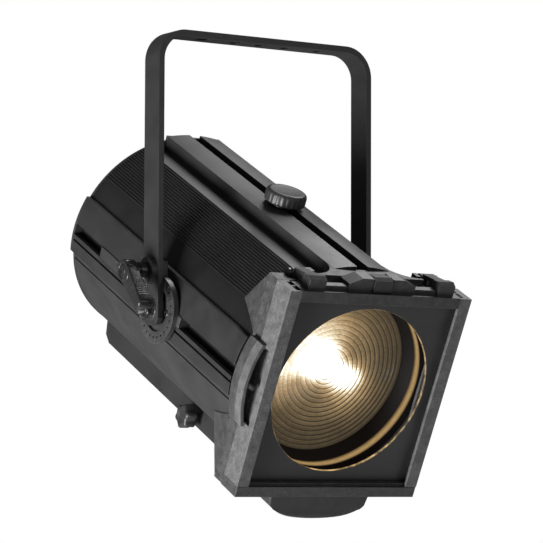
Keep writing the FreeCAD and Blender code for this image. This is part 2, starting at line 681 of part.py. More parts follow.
def make_rear():
    """Make the vented rear plate, the tie rods that draw the housing together, and their screws."""
    thick, wide = (PLATE, REAR), "(side_rail_size / 2)"
    floor = f"(-{reach('shell_size + 1', 'bottom_width / 2')} - 0.3)"
    plate = fuse(
        common(rod("y", "shell_size + 2 * rib_high", thick), block((f"-{wide}", wide), thick, (floor, wide))),
        common(rod("y", "side_rail_size", thick),
               block((f"-{wide}", wide), thick, ("-side_rail_low", "side_rail_high"))),
        block(("-rail_width / 2", "rail_width / 2"), thick, ("rail_top - 20", "rail_top")),
    )
    vents = [block((f"-{half}", f"{half}"), thick, (f"{rise} - 2.5", f"{rise} + 2.5"))
             for rise, half in ((60, 40), (45, 56), (30, 66), (15, 70), (0, 70), (-15, 70), (-30, 66))]
    ties = [(f"{sx} * (side_rail_wall - tie_inset)", f"{sz} * tie_rise") for sx in SENSES for sz in SENSES]
    holes = [rod("y", "4.4", thick, *at) for at in ties]
    keep("rear_plate", cut(plate, *vents, *holes))
    keep("tie_rods", group(*[rod("y", "tie_rod", (SHELL, PLATE), *at) for at in ties]))
    heads = [fuse(rod("y", "8", (REAR, f"{REAR} + 3"), *at), rod("y", "4.2", thick, *at)) for at in ties]
    keep("rear_screws", group(*heads))
    rails = (f"{SHELL} + 30", PLATE)
    keep("guide_rods", group(*[rod("y", "guide_rod", rails, f"{side} * guide_spread / 2", "-guide_drop")
                               for side in SENSES]))


# ---------------------------------------------------------------- front casting and colour-frame holder

def make_front_casting():
    """Make the square front casting: lens tunnel, side flanges, corner fairings and rail tongue."""
    half, top, low = "front_width / 2 - 1.5", "front_top", "(-front_bottom)"
    square = block((f"-({half})", half), (CAST, SHELL), (low, top))
    fairing = doc.addObject("Part::Wedge", "fairing")
    bind(fairing, Ymin=SHELL, Ymax=f"{SHELL} + 44", Xmin=f"-({half})", Xmax=half, Zmin=f"{low} + 2",
         Zmax=f"{top} - 0.5", X2min="fairing_inset - front_width / 2", X2max="front_width / 2 - fairing_inset",
         Z2min="-fairing_high / 2", Z2max="fairing_high / 2")
    behind = (SHELL, f"{SHELL} + 44")
    beside_rails = common(rod("y", "side_rail_size + 2 * slack", behind),
                          block(("-side_rail_size", "side_rail_size"), behind,
                                ("-side_rail_low - slack", "side_rail_high + slack")))
    fairing = cut(fairing, rod("y", "shell_size + 2 * rib_high + 2 * slack", behind), beside_rails)
    flange = common(rod("y", "flange_size", (CAST, f"{CAST} + 11")),
                    block(("-flange_size", "flange_size"), (CAST, f"{CAST} + 11"),
                          ("-flange_high / 2", "flange_high / 2")))
    tongue = extruded("XY", [
        ("-62", CAST), ("62", CAST), ("62", f"{CAST} + 3", "-30"), ("rail_width / 2 + slack", f"{SHELL} + 18"),
        ("rail_width / 2 + slack", SHELL), ("-rail_width / 2 - slack", SHELL),
        ("-rail_width / 2 - slack", f"{SHELL} + 18", "-30"), ("-62", f"{CAST} + 3")],
        ("front_top - 1", "rail_top"))
    skirt = block((f"-({half} + 1)", f"{half} + 1"), (FRONT, f"{CAST} + 1"), (low, f"{low} + 10.5"))
    ledge = block(("-gate / 2", "gate / 2"), (f"{FRONT} + lip + 1", f"{FRONT} + 12.8"),
                  (f"{low} + 10", f"{low} + 13"))
    casting = fuse(square, fairing, flange, tongue, skirt, ledge)
    wells = []
    for side in SENSES:
        well = outward(side, "arm_spread / 2 - 10.5", "arm_spread / 2 + 12.3")
        wells.append(rod("x", "hinge_barrel + 2 * slack", well, HINGE, "hinge_rise"))
        inboard = f"{side} * (arm_spread / 2 - 12.5)"
        wells.append(block((f"{inboard} - 2.6", f"{inboard} + 2.6"), (f"{HINGE} - 5.1", SHELL),
                           ("front_top - 1.5", "rail_top")))
    thumb = [rod("y", "4.4", (CAST, SHELL), f"{side} * (front_width / 2 + screw_out)", "0") for side in SENSES]
    casting = cut(casting, rod("y", "tunnel", (CAST, f"{SHELL} - 3")), rod("y", "throat", (CAST, SHELL)),
                  *wells, *thumb)
    keep("front_casting", casting)

    ears = []
    for side in SENSES:
        inboard = f"{side} * (arm_spread / 2 - 12.5)"
        span = (f"{inboard} - 2.5", f"{inboard} + 2.5")
        ear = block(span, (f"{HINGE} - 5", f"{HINGE} + 3.9"), ("front_top - 1.5", "hinge_rise + 5"))
        ears.append(cut(ear, rod("x", "hinge_pin", span, HINGE, "hinge_rise")))
    keep("hinge_ears", group(*ears))


def make_holder():
    """Make the side runners of the colour-frame holder, with their curved flange rims."""
    top, low = "front_top", "(-front_bottom + 11)"
    out, wall = "(front_width / 2)", "(gate / 2 + 0.75)"
    back = "(holder_depth - pivot_setback)"
    for side, word in SIDES:
        lips = f"(gate / 2 - lip_cover)"
        body = extruded("XY", mirrored(side, [
            (out, FRONT), (out, back), (lips, back), (lips, f"{back} - lip"), (wall, f"{back} - lip"),
            (wall, f"{FRONT} + 15"), (lips, f"{FRONT} + 15"), (lips, f"{FRONT} + 13"), (wall, f"{FRONT} + 13"),
            (wall, f"{FRONT} + lip"), (lips, f"{FRONT} + lip"), (lips, FRONT)]), (low, top))
        recess = block(outward(side, f"{out} - 4.5", f"{out} + 1"), (f"{FRONT} + 8.5", back),
                       ("-flange_high / 2 + 3", "flange_high / 2 - 3"))
        rim = cut(
            common(rod("y", "flange_size", (f"{FRONT} + 15", back)),
                   block(outward(side, f"{out} - 1", "flange_size / 2"), (f"{FRONT} + 15", back),
                         ("-flange_high / 2", "flange_high / 2"))),
            rod("y", "flange_size - 7", (f"{FRONT} + 15", back)))
        ends = [block(outward(side, f"{out} - 1", f"{out} + 4"), (f"{FRONT} + 15", back), span)
                for span in (("flange_high / 2 - 4", "flange_high / 2"),
                             ("-flange_high / 2", "4 - flange_high / 2"))]
        round_off = common(fuse(*ends), rod("y", "flange_size", (f"{FRONT} + 15", back)))
        keep(f"runner_{word}", fuse(cut(body, recess), rim, round_off))
    screws = []
    for side in SENSES:
        at = (f"{side} * (front_width / 2 + screw_out)", "0")
        knurl = rod("y", "7.4", (f"{FRONT} + 11", f"{back} - 0.2"), *at)
        shank = rod("y", "4.3", (f"{back} - 0.2", f"{SHELL} - 8"), *at)
        screws.append(fuse(knurl, shank, rod("y", "5", (f"{FRONT} + 8.7", f"{FRONT} + 11"), *at)))
    keep("holder_screws", group(*screws))
    sheet_y = (f"{FRONT} + 9.5", f"{FRONT} + 9.5 + gate_thick")
    side_x = ("-gate / 2", "gate / 2")
    plate = block(side_x, sheet_y, ("-front_bottom + 13.2", "-front_bottom + 13.2 + gate"))
    keep("colour_frame", cut(plate, rod("y", "gate_hole", sheet_y)))


def make_handle():
    """Make the hollow bowl-shaped grip under the front."""
    half, roof, low = "handle_width / 2", "(-front_bottom - 0.2)", "(-handle_low)"
    span = (f"{FRONT} + 8", f"{FRONT} + 34")
    points = [(half, roof), (f"-{half}", roof), (f"-{half} + 3", f"{low} + 17"),
              (f"-{half} + 20", f"{low} + 4.5", "150"), (f"{half} - 20", f"{low} + 4.5"),
              (f"{half} - 3", f"{low} + 17")]
    outer = extruded("XZ", points, span)
    wall = "handle_wall"
    inner = [(f"{half} - {wall}", f"{roof} - {wall}"), (f"-{half} + {wall}", f"{roof} - {wall}"),
             (f"-{half} + 3 + {wall}", f"{low} + 17 + {wall} / 2"),
             (f"-{half} + 20 + {wall}", f"{low} + 4.5 + {wall}", "150"),
             (f"{half} - 20 - {wall}", f"{low} + 4.5 + {wall}"), (f"{half} - 3 - {wall}", f"{low} + 17 + {wall} / 2")]
    hollow = extruded("XZ", inner, (f"{span[0]} + {wall}", f"{span[1]} + 1"))
    keep("front_handle", cut(outer, hollow))


# ---------------------------------------------------------------- retainer across the top of the holder

def make_retainer():
    """Make the hinged retainer that closes the holder, its pins and its spring catch."""
    front, top = FRONT, "front_top"
    half = "(gate / 2 - lip_cover - slack)"
    plate = block((f"-{half}", half), (front, f"{front} + 23.5"), (f"{top} - cover_thick + 0.5", f"{top} + 0.5"))
    face = block((f"-{half}", half), (front, f"{front} + lip - slack"), (f"{top} - 10.5", f"{top}"))
    bar = block(("-72", "72"), (f"{front} + 6", f"{front} + 14"), (f"{top}", f"{top} + 5"))
    parts = [plate, face, bar]
    for side in SENSES:
        middle = f"({side} * arm_spread / 2)"
        arm = extruded("YZ", [
            (f"{front} + 4", f"{top} + 0.2"), (f"{HINGE}", f"{top} + 0.6"), (f"{HINGE}", "hinge_rise + 6"),
            (f"{front} + 24", f"{top} + 10.5"), (f"{front} + 9", f"{top} + 13"), (f"{front} + 4", f"{top} + 10")],
            (f"{middle} - 6", f"{middle} + 6"))
        lug = extruded("YZ", [
            (f"{front} + 4", f"{top} + 0.2"), (f"{front} + 19", f"{top} + 0.2"),
            (f"{front} + 17", f"{top} + 12"), (f"{front} + 9", f"{top} + 13.5"), (f"{front} + 4", f"{top} + 10.5")],
            (f"{middle} - 9.5", f"{middle} + 9.5"))
        barrel = rod("x", "hinge_barrel", (f"{middle} - 8.5", f"{middle} + 8.5"), HINGE, "hinge_rise")
        parts += [arm, lug, barrel]
    for low, high, fall in (("-38", "-11", -1), ("11", "38", 1)):
        near, far = (high, low) if fall < 0 else (low, high)
        parts.append(extruded("XZ", [
            (near, f"{top} + 0.2"), (near, f"{top} + 14"), (f"{near} + {fall} * 13", f"{top} + 14"),
            (far, f"{top} + 8"), (far, f"{top} + 0.2")], (f"{front} + 5", f"{front} + 22")))
    pins = [rod("x", "hinge_pin + 2 * running", (f"{side} * arm_spread / 2 - 8.5", f"{side} * arm_spread / 2 + 8.5"),
                HINGE, "hinge_rise") for side in SENSES]
    notch = block(("-11", "11"), (f"{front} + lip + 0.2", f"{front} + 24"), (f"{top} + 0.6", f"{top} + 16"))
    keep("retainer", cut(fuse(*parts), notch, *pins))

    ends = []
    for side in SENSES:
        near, far = f"(arm_spread / 2 - 15)", f"(arm_spread / 2 + 8.5 + slack)"
        shank = rod("x", "hinge_pin - 2 * running", outward(side, near, far), HINGE, "hinge_rise")
        head = rod("x", "10", outward(side, far, f"{far} + 3"), HINGE, "hinge_rise")
        ends.append(fuse(shank, head))
    keep("hinge_pins", group(*ends))

    body = extruded("YZ", [
        (f"{front} + 3.5", f"{top} + 1"), (f"{front} + 21", f"{top} + 1"), (f"{front} + 21", f"{top} + 13"),
        (f"{front} + 9", f"{top} + 15"), (f"{front} + 3.5", f"{top} + 12")], ("-10.5", "10.5"))
    keep("latch_button", body)


# ---------------------------------------------------------------- lens

def make_lens():
    """Turn the stepped lens, the barrel in front of it, the carrier round it and the gasket."""
    front = "(lens_front - pivot_setback)"
    rear = f"({front} + lens_thick)"
    seat = f"({rear} - 4)"
    out = "(lens_size / 2)"
    steps = int(size("lens_steps"))
    points = [(rear, "0"), (f"{front} + 1.2", "0"), (f"{front} + 2.6", "13")]
    for step in range(steps):
        inner = f"(13 + {step} * ({out} - 18) / lens_steps)"
        outer = f"(13 + {step + 1} * ({out} - 18) / lens_steps)"
        points.append((f"{front} + 0.6", f"{inner} + 0.3"))
        points.append((f"{front} + 2.2 + {step} * 0.2", outer))
    points += [(f"{front} + 3", f"{out} - 4"), (seat, f"{out} - 4"), (seat, out), (rear, out)]
    keep("lens", turned(points))

    bore, neck, tunnel = "barrel_bore / 2", "barrel_neck / 2", "(tunnel / 2 - 0.3)"
    start, end = f"({FRONT} + 28)", f"({front} - 0.3)"
    step, throat, around_lens = f"({SHELL} - 3.2)", "(throat / 2 - 0.2)", "(clear_bore / 2 - 0.1)"
    keep("lens_barrel", turned([
        (start, bore), (f"{start} + 11", bore), (f"{end} - 1.5", neck), (end, neck),
        (end, throat), (step, throat), (step, tunnel), (start, tunnel)]))
    wall = f"({out} + 0.4)"
    stop = f"({rear} + 2)"
    keep("lens_carrier", turned([
        (f"{SHELL} + 0.2", f"{throat} + 0.3"), (f"{end} + 0.2", f"{throat} + 0.3"), (f"{end} + 0.2", wall),
        (stop, wall), (stop, f"{out} - 5"), (f"{stop} + 3", f"{out} - 5"),
        (f"{stop} + 3", around_lens), (f"{SHELL} + 0.2", around_lens)]))
    keep("lens_gasket", turned([
        (rear, f"{out} - 4.5"), (stop, f"{out} - 4.5"), (stop, out), (rear, out)]))
    clips = []
    for angle in (90, 210, 330):
        x, z = radial(f"({out} + 2.5)", angle)
        clips.append(rod("y", "5", (f"{stop} + 3", f"{stop} + 6"), x, z))
    keep("carrier_screws", group(*clips))
    baffle = (f"{SHELL} + 28.5", f"{SHELL} + 30")
    keep("inner_baffle", ring("y", "clear_bore", "barrel_neck", baffle))


# ---------------------------------------------------------------- lamp carriage

def make_carriage():
    """Make the sled that runs on the guide rods with the lamp, its holder and the reflector."""
    c = "carriage"
    rods = [(f"{side} * guide_spread / 2", "-guide_drop") for side in SENSES]
    bush_y = [(f"{c} - 34", f"{c} - 20"), (f"{c} + 34", f"{c} + 48")]
    bushes = [cut(block((f"{x} - 7", f"{x} + 7"), span, (f"{z} - 7", f"{z} + 7")),
                  rod("y", "guide_rod + 2 * running", span, x, z)) for x, z in rods for span in bush_y]
    keep("carriage_bushes", group(*bushes))
    deck = "(-guide_drop - 7)"
    keep("sled", fuse(
        block(("-guide_spread / 2 - 9", "guide_spread / 2 + 9"), (f"{c} - 36", f"{c} + 55"), (f"{deck} - 2.5", deck)),
        block(("-22", "22"), (f"{c} + 52.5", f"{c} + 55"), (f"{deck} - 2.5", f"{deck} + 20"))))
    top = "(rail_top - 22)"
    keep("carriage_strap", fuse(
        block(("-12", "12"), (f"{c} + 49.9", f"{c} + 52.4"), (f"{deck} + 0.2", top)),
        block(("-12", "12"), (f"{c} - 8", f"{c} + 52.4"), (f"{top} - 2.5", top))))

    bulb_y = f"({c} - 12)"
    size_out = "reflector_size"
    bowl = cut(ball(size_out, "0", bulb_y, "0"), ball(f"{size_out} - 2 * reflector_wall", "0", bulb_y, "0"))
    bowl = common(bowl, block((f"-{size_out}", size_out), (f"{bulb_y} + 22", f"{bulb_y} + {size_out}"),
                              (f"-{size_out}", size_out)))
    keep("reflector", bowl)
    pole = f"({bulb_y} + {size_out} / 2)"
    keep("reflector_bracket", block(("-14", "14"), (f"{pole} + 0.3", f"{pole} + 2.8"), (deck, "16")))
    foot = f"({deck} + 0.2)"
    keep("lampholder", fuse(
        block(("-22", "22"), (f"{bulb_y} - 13", f"{bulb_y} + 13"), (foot, f"{foot} + 8")),
        block(("-17", "17"), (f"{bulb_y} - 11", f"{bulb_y} + 11"), (f"{foot} + 8", f"{foot} + 24"))))
    base = f"({foot} + 24.2)"
    neck = f"({base} + 9)"
    keep("lamp_base", rod("z", "bulb - 4", (base, neck), "0", bulb_y))
    glass_top = "18"
    glass = fuse(rod("z", "bulb", (f"{neck} + 0.2", glass_top), "0", bulb_y), ball("bulb", "0", bulb_y, glass_top))
    inside = fuse(rod("z", "bulb - 2.4", (f"{neck} + 1.4", glass_top), "0", bulb_y),
                  ball("bulb - 2.4", "0", bulb_y, glass_top))
    keep("lamp_glass", cut(glass, inside))
    coils = [rod("z", "1.4", ("-7", "7"), f"{place}", bulb_y) for place in (-6, -3.6, -1.2, 1.2, 3.6, 6)]
    leads = [rod("z", "1", (f"{neck} + 1.6", "-7"), f"{place}", bulb_y) for place in (-6, 6)]
    bridges = [block((f"{-6 + 4.8 * i}", f"{-3.6 + 4.8 * i}"), (f"{bulb_y} - 0.5", f"{bulb_y} + 0.5"), ("6", "7"))
               for i in range(3)]
    lower = [block((f"{-3.6 + 4.8 * i}", f"{-1.2 + 4.8 * i}"), (f"{bulb_y} - 0.5", f"{bulb_y} + 0.5"), ("-7", "-6"))
             for i in range(2)]
    keep("lamp_filament", fuse(*coils, *leads, *bridges, *lower))


def make_focus():
    """Make the slider in the top rail, the stud, the washer and the fluted focus knob."""
    c = "carriage"
    deep, floor = "rail_groove / 2 - slack", "(rail_top - 10.5)"
    slider = block((f"-({deep})", deep), (f"{c} - 24", f"{c} + 24"), (f"{floor} + slack", "rail_top - 2.5 - slack"))
    bore = rod("z", "stud + 2 * running", (floor, "rail_top"), "0", c)
    keep("focus_slider", cut(slider, bore))
    under = "(rail_top - 22)"
    keep("focus_stud", fuse(rod("z", "stud", (under, "knob_top - 4"), "0", c),
                            hexagon("z", "13", (f"{under}", f"{under} + 2.5"), "0", c)))
    washer = ("rail_peak + slack", "knob_low - 0.2")
    keep("knob_washer", ring("z", "30", "stud + 2 * running", washer, "0", c))

    body = new_body()
    disc = sketch_on(body, "XY", "knob_low")
    hole(disc, "0", c, "knob_size")
    pad(body, disc, "knob_top - knob_low")
    rim = [f"Edge{n}" for n, e in enumerate(body.Shape.Edges, 1)
           if abs(e.BoundBox.ZMin - size("knob_top")) < 0.01 and e.BoundBox.DiagonalLength > 1]
    blank = body.Tip
    bevel = body.newObject("PartDesign::Fillet", "bevel")
    bevel.Base = (blank, rim)
    bind(bevel, Radius="2")
    body.Tip = bevel
    doc.recompute()
    flutes = [rod("z", "3.2", ("knob_low", "knob_top - 2.5"), f"(knob_size / 2 + 0.6) * cos({15 * i})",
                  f"{c} + (knob_size / 2 + 0.6) * sin({15 * i})") for i in range(24)]
    bore = rod("z", "stud + 2 * running", ("knob_low", "knob_top - 3.8"), "0", c)
    keep("focus_knob", cut(body, group(*flutes), bore))


MAKERS = (
    make_yoke, make_pivots, make_clamp, make_tilt_discs, make_top_rail, make_shells, make_underside,
    make_access_knob, make_rear, make_front_casting, make_holder, make_handle, make_retainer,
    make_lens, make_carriage, make_focus,
)


def main():
    """Build every piece, check it and write it out."""
    for maker in MAKERS:
        maker()
    doc.recompute()
    for thing in doc.Objects:
        if {"Invalid", "Error"} & set(thing.State):
            raise RuntimeError(f"{thing.Label} ({thing.Name}) could not be built: {thing.State}")
    os.makedirs("parts", exist_ok=True)
    for piece in PIECES:
        shape = piece.Shape
        if shape.isNull() or not shape.isValid() or not shape.Solids:
            raise RuntimeError(f"{piece.Label} has no sound solid")
        shape.exportStep(f"parts/{piece.Label}.step")
        print(f"{piece.Label:22s} {len(shape.Solids):2d} solids {shape.Volume / 1000:9.2f} cm3")
    print(len(PIECES), "pieces")


if __name__ == "__main__":
    main()
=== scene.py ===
"""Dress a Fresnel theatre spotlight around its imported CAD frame.

The frame holds every size and place. The classes below add finishes to its nodes and replace the
ones that need rounder, finer shapes: the stepped lens, the knobs, the clamp lever, the ribbed
shells, the screws and the grip. All lengths are metres unless a name ends in _mm.
"""

import json
import logging
import math
from collections.abc import Callable, Sequence
from dataclasses import dataclass, replace
from enum import Enum
from functools import cache

import bmesh
import bpy
from mathutils import Matrix, Vector


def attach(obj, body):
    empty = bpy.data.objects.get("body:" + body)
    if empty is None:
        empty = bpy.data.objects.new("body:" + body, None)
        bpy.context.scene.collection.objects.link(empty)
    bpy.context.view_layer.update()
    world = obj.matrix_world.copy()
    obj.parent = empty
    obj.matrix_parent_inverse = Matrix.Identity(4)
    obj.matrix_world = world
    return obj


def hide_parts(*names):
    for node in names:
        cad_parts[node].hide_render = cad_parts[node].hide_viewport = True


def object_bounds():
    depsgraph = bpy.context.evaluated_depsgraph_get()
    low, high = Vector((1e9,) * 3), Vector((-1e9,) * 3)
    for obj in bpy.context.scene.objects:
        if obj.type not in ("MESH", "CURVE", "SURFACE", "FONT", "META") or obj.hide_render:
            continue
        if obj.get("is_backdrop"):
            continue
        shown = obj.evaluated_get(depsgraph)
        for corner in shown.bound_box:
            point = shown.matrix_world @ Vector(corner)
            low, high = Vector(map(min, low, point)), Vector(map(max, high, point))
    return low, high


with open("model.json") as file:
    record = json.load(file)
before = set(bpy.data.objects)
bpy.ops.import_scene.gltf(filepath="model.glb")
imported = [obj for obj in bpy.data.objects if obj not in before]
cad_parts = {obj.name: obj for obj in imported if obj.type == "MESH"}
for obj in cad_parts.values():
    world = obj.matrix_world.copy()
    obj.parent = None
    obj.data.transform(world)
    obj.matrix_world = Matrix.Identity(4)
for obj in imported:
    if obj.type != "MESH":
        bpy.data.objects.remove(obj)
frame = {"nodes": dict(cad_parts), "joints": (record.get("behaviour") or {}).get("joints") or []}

LOG = logging.getLogger("lantern")
MM = 0.001
Colour = tuple[float, float, float]
Radius = float | Callable[[float], float]


class Body(Enum):
    """The rigid bodies that a piece can ride on."""

    YOKE = "yoke"
    LEVER = "clamp_lever"
    DISCS = "tilt_discs"
    HOUSING = "housing"
    CARRIAGE = "carriage"
    FOCUS_KNOB = "focus_knob"
    RETAINER = "retainer"
    LATCH = "latch_button"
    ACCESS_KNOB = "access_knob"


class Side(Enum):
    """The two sides of the lantern, by the sign of X."""

    LEFT = -1
    RIGHT = 1

    @property
    def word(self) -> str:
        """The side's name in lower case."""
        return self.name.lower()


# ---------------------------------------------------------------- axes

@dataclass(frozen=True)
class Axes:
    """A set of axes that pieces are built in.

    Attributes:
        matrix: Turns a place in these axes into a place in the frame.
    """

    matrix: Matrix

    @classmethod
    def of_lamp(cls) -> "Axes":
        """The housing's axes: X across, Y back along the beam, Z up, from the tilt axis."""
        joints = {joint["name"]: joint for joint in frame["joints"]}
        across, back = Vector((1, 0, 0)), Vector(joints["balance_slide"]["axis"])
        turn = Matrix((across, back, across.cross(back))).transposed().to_4x4()
        return cls(Matrix.Translation(joints["tilt"]["pos_m"]) @ turn)

    @classmethod
    def of_yoke(cls) -> "Axes":
        """Upright axes from the tilt axis, for what stays with the yoke."""
        joints = {joint["name"]: joint for joint in frame["joints"]}
        return cls(Matrix.Translation(joints["tilt"]["pos_m"]))

    def extent(self, node: str) -> tuple[Vector, Vector]:
        """Find a node's box in these axes.

        Args:
            node: The CAD node's name.

        Returns:
            The lowest and the highest corner.
        """
        inverse = self.matrix.inverted()
        spots = [inverse @ v.co for v in frame["nodes"][node].data.vertices]
        return (Vector(min(p[i] for p in spots) for i in range(3)),
                Vector(max(p[i] for p in spots) for i in range(3)))

    def solids(self, node: str) -> list[tuple[Vector, Vector]]:
        """Find the box of each separate solid of a node in these axes.

        Args:
            node: The CAD node's name.

        Returns:
            One (lowest, highest) pair for each solid, in order of X, then Y, then Z.
        """
        mesh = bmesh.new()
        mesh.from_mesh(frame["nodes"][node].data)
        bmesh.ops.remove_doubles(mesh, verts=mesh.verts, dist=1e-6)
        inverse, seen, boxes = self.matrix.inverted(), set(), []
        for start in mesh.verts:
            if start in seen:
                continue
            island, edge = [], [start]
            seen.add(start)
            while edge:
                vertex = edge.pop()
                island.append(inverse @ vertex.co)
                for link in vertex.link_edges:
                    other = link.other_vert(vertex)
                    if other not in seen:
                        seen.add(other)
                        edge.append(other)
            boxes.append((Vector(min(p[i] for p in island) for i in range(3)),
                          Vector(max(p[i] for p in island) for i in range(3))))
        mesh.free()
        return sorted(boxes, key=lambda box: tuple(round(c, 4) for c in box[0]))


LAMP = Axes.of_lamp()
UPRIGHT = Axes.of_yoke()


def towards(direction: Sequence[float], place: Sequence[float] = (0, 0, 0)) -> Matrix:
    """Make the matrix that stands a piece built along +Z on a place, facing a direction.

    Args:
        direction: Where +Z goes.
        place: Where the origin goes.

    Returns:
        The 4 by 4 matrix.
    """
    turn = Vector(direction).to_track_quat("Z", "Y").to_matrix().to_4x4()
    return Matrix.Translation(place) @ turn


def seat(box: tuple[Vector, Vector], axis: int, level: float) -> Vector:
    """Find the centre of a box and move it onto a plane across one axis.

    Args:
        box: The lowest and the highest corner.
        axis: 0, 1 or 2 for X, Y or Z.
        level: Where the plane is on that axis.

    Returns:
        The place.
    """
    spot = (box[0] + box[1]) / 2
    spot[axis] = level
    return spot


# ---------------------------------------------------------------- finishes

class Graph:
    """Writes one material's node tree."""

    def __init__(self, name: str) -> None:
        """Start an empty material.

        Args:
            name: The material's name.
        """
        self.material = bpy.data.materials.new(name)
        self.material.use_nodes = True
        self.tree = self.material.node_tree
        self.tree.nodes.clear()

    def feed(self, socket: bpy.types.NodeSocket, value: object) -> None:
        """Link or set one input.

        Args:
            socket: The input.
            value: Another node's output, or a constant.
        """
        if isinstance(value, bpy.types.NodeSocket):
            self.tree.links.new(value, socket)
        elif socket.type == "RGBA" and len(value) == 3:
            socket.default_value = (*value, 1.0)
        else:
            socket.default_value = value

    def add(self, kind: str, sockets: dict | None = None, **settings: object) -> bpy.types.Node:
        """Add a node.

        Args:
            kind: The node's type, without its ShaderNode prefix.
            sockets: Values or links for its inputs, by name or number.
            **settings: The node's own properties.

        Returns:
            The node.
        """
        node = self.tree.nodes.new("ShaderNode" + kind)
        for key, value in settings.items():
            setattr(node, key, value)
        for key, value in (sockets or {}).items():
            self.feed(node.inputs[key], value)
        return node

    def math(self, operation: str, *values: object, clamp: bool = False) -> bpy.types.NodeSocket:
        """Add a Math node and give its result."""
        node = self.add("Math", dict(enumerate(values)), operation=operation, use_clamp=clamp)
        return node.outputs[0]

    def vector(self, operation: str, *values: object, out: str = "Vector") -> bpy.types.NodeSocket:
        """Add a Vector Math node and give one of its results."""
        return self.add("VectorMath", dict(enumerate(values)), operation=operation).outputs[out]

    def place(self, axes: Axes | None = None, stretch: Sequence[float] = (1, 1, 1)) -> bpy.types.NodeSocket:
        """Give the place on the piece, in the frame's axes or in others.

        Args:
            axes: The axes to turn into, if any.
            stretch: How far to stretch a pattern along each axis.

        Returns:
            The vector socket.
        """
        spot = self.add("TexCoord").outputs["Object"]
        if axes is None and tuple(stretch) == (1, 1, 1):
            return spot
        matrix = axes.matrix if axes else Matrix()
        return self.add("Mapping", {"Vector": spot, "Location": matrix.to_translation(),
                                    "Rotation": matrix.to_euler(), "Scale": stretch},
                        vector_type="TEXTURE").outputs[0]

    def noise(self, vector: bpy.types.NodeSocket, cell_mm: float, detail: float = 2.0,
              rough: float = 0.5) -> bpy.types.NodeSocket:
        """Add a noise pattern whose lumps are about a given size.

        Args:
            vector: Where to read it.
            cell_mm: The size of a lump.
            detail: How many finer layers it has.
            rough: How strong the finer layers are.

        Returns:
            The factor socket.
        """
        return self.add("TexNoise", {"Vector": vector, "Scale": 1 / (cell_mm * MM), "Detail": detail,
                                     "Roughness": rough}).outputs[0]

    def ramp(self, factor: bpy.types.NodeSocket,
             stops: Sequence[tuple[float, object]]) -> bpy.types.NodeSocket:
        """Turn a factor into colours or greys.

        Args:
            factor: The input.
            stops: Pairs of a position and a grey level or a colour.

        Returns:
            The colour socket.
        """
        node = self.add("ValToRGB", {"Fac": factor})
        elements = node.color_ramp.elements
        while len(elements) < len(stops):
            elements.new(0.5)
        for element, (position, tone) in zip(elements, stops):
            element.position = position
            element.color = (*((tone,) * 3 if isinstance(tone, (int, float)) else tone), 1)
        return node.outputs["Color"]

    def blend(self, factor: object, first: object, second: object, mode: str = "MIX") -> bpy.types.NodeSocket:
        """Mix two colours."""
        return self.add("Mix", {0: factor, 6: first, 7: second}, data_type="RGBA", blend_type=mode).outputs[2]

    def spread(self, value: bpy.types.NodeSocket, low: float, high: float,
               source: tuple[float, float] = (0.0, 1.0)) -> bpy.types.NodeSocket:
        """Map a value from a source range onto another range."""
        return self.add("MapRange", {"Value": value, "From Min": source[0], "From Max": source[1],
                                     "To Min": low, "To Max": high}).outputs[0]

    def bump(self, height: bpy.types.NodeSocket, strength: float, deep_mm: float,
             **normal: bpy.types.NodeSocket) -> bpy.types.NodeSocket:
        """Turn a height into a bumped normal, over a Normal of its own if one is given."""
        return self.add("Bump", {"Height": height, "Strength": strength, "Distance": deep_mm * MM,
                                 **normal}).outputs[0]

    def close(self, **sockets: object) -> bpy.types.Material:
        """Add the shader and the output.

        Args:
            **sockets: The shader's inputs, by their names with _ for a space.

        Returns:
            The finished material.
        """
        named = {key.replace("_", " "): value for key, value in sockets.items()}
        shader = self.add("BsdfPrincipled", named)
        self.add("OutputMaterial", {"Surface": shader.outputs[0]})
        return self.material


@dataclass(frozen=True)
class Finish:
    """A finish that builds its material once.

    Attributes:
        name: The material's name.
        slot: The record's material slot that it stands for; not used.
    """

    name: str
    slot: str

    @cache
    def material(self) -> bpy.types.Material:
        """Give the material, built the first time."""
        return self.paint(Graph(self.name))

    def paint(self, graph: Graph) -> bpy.types.Material:
        """Draw the nodes of this finish."""
        raise NotImplementedError


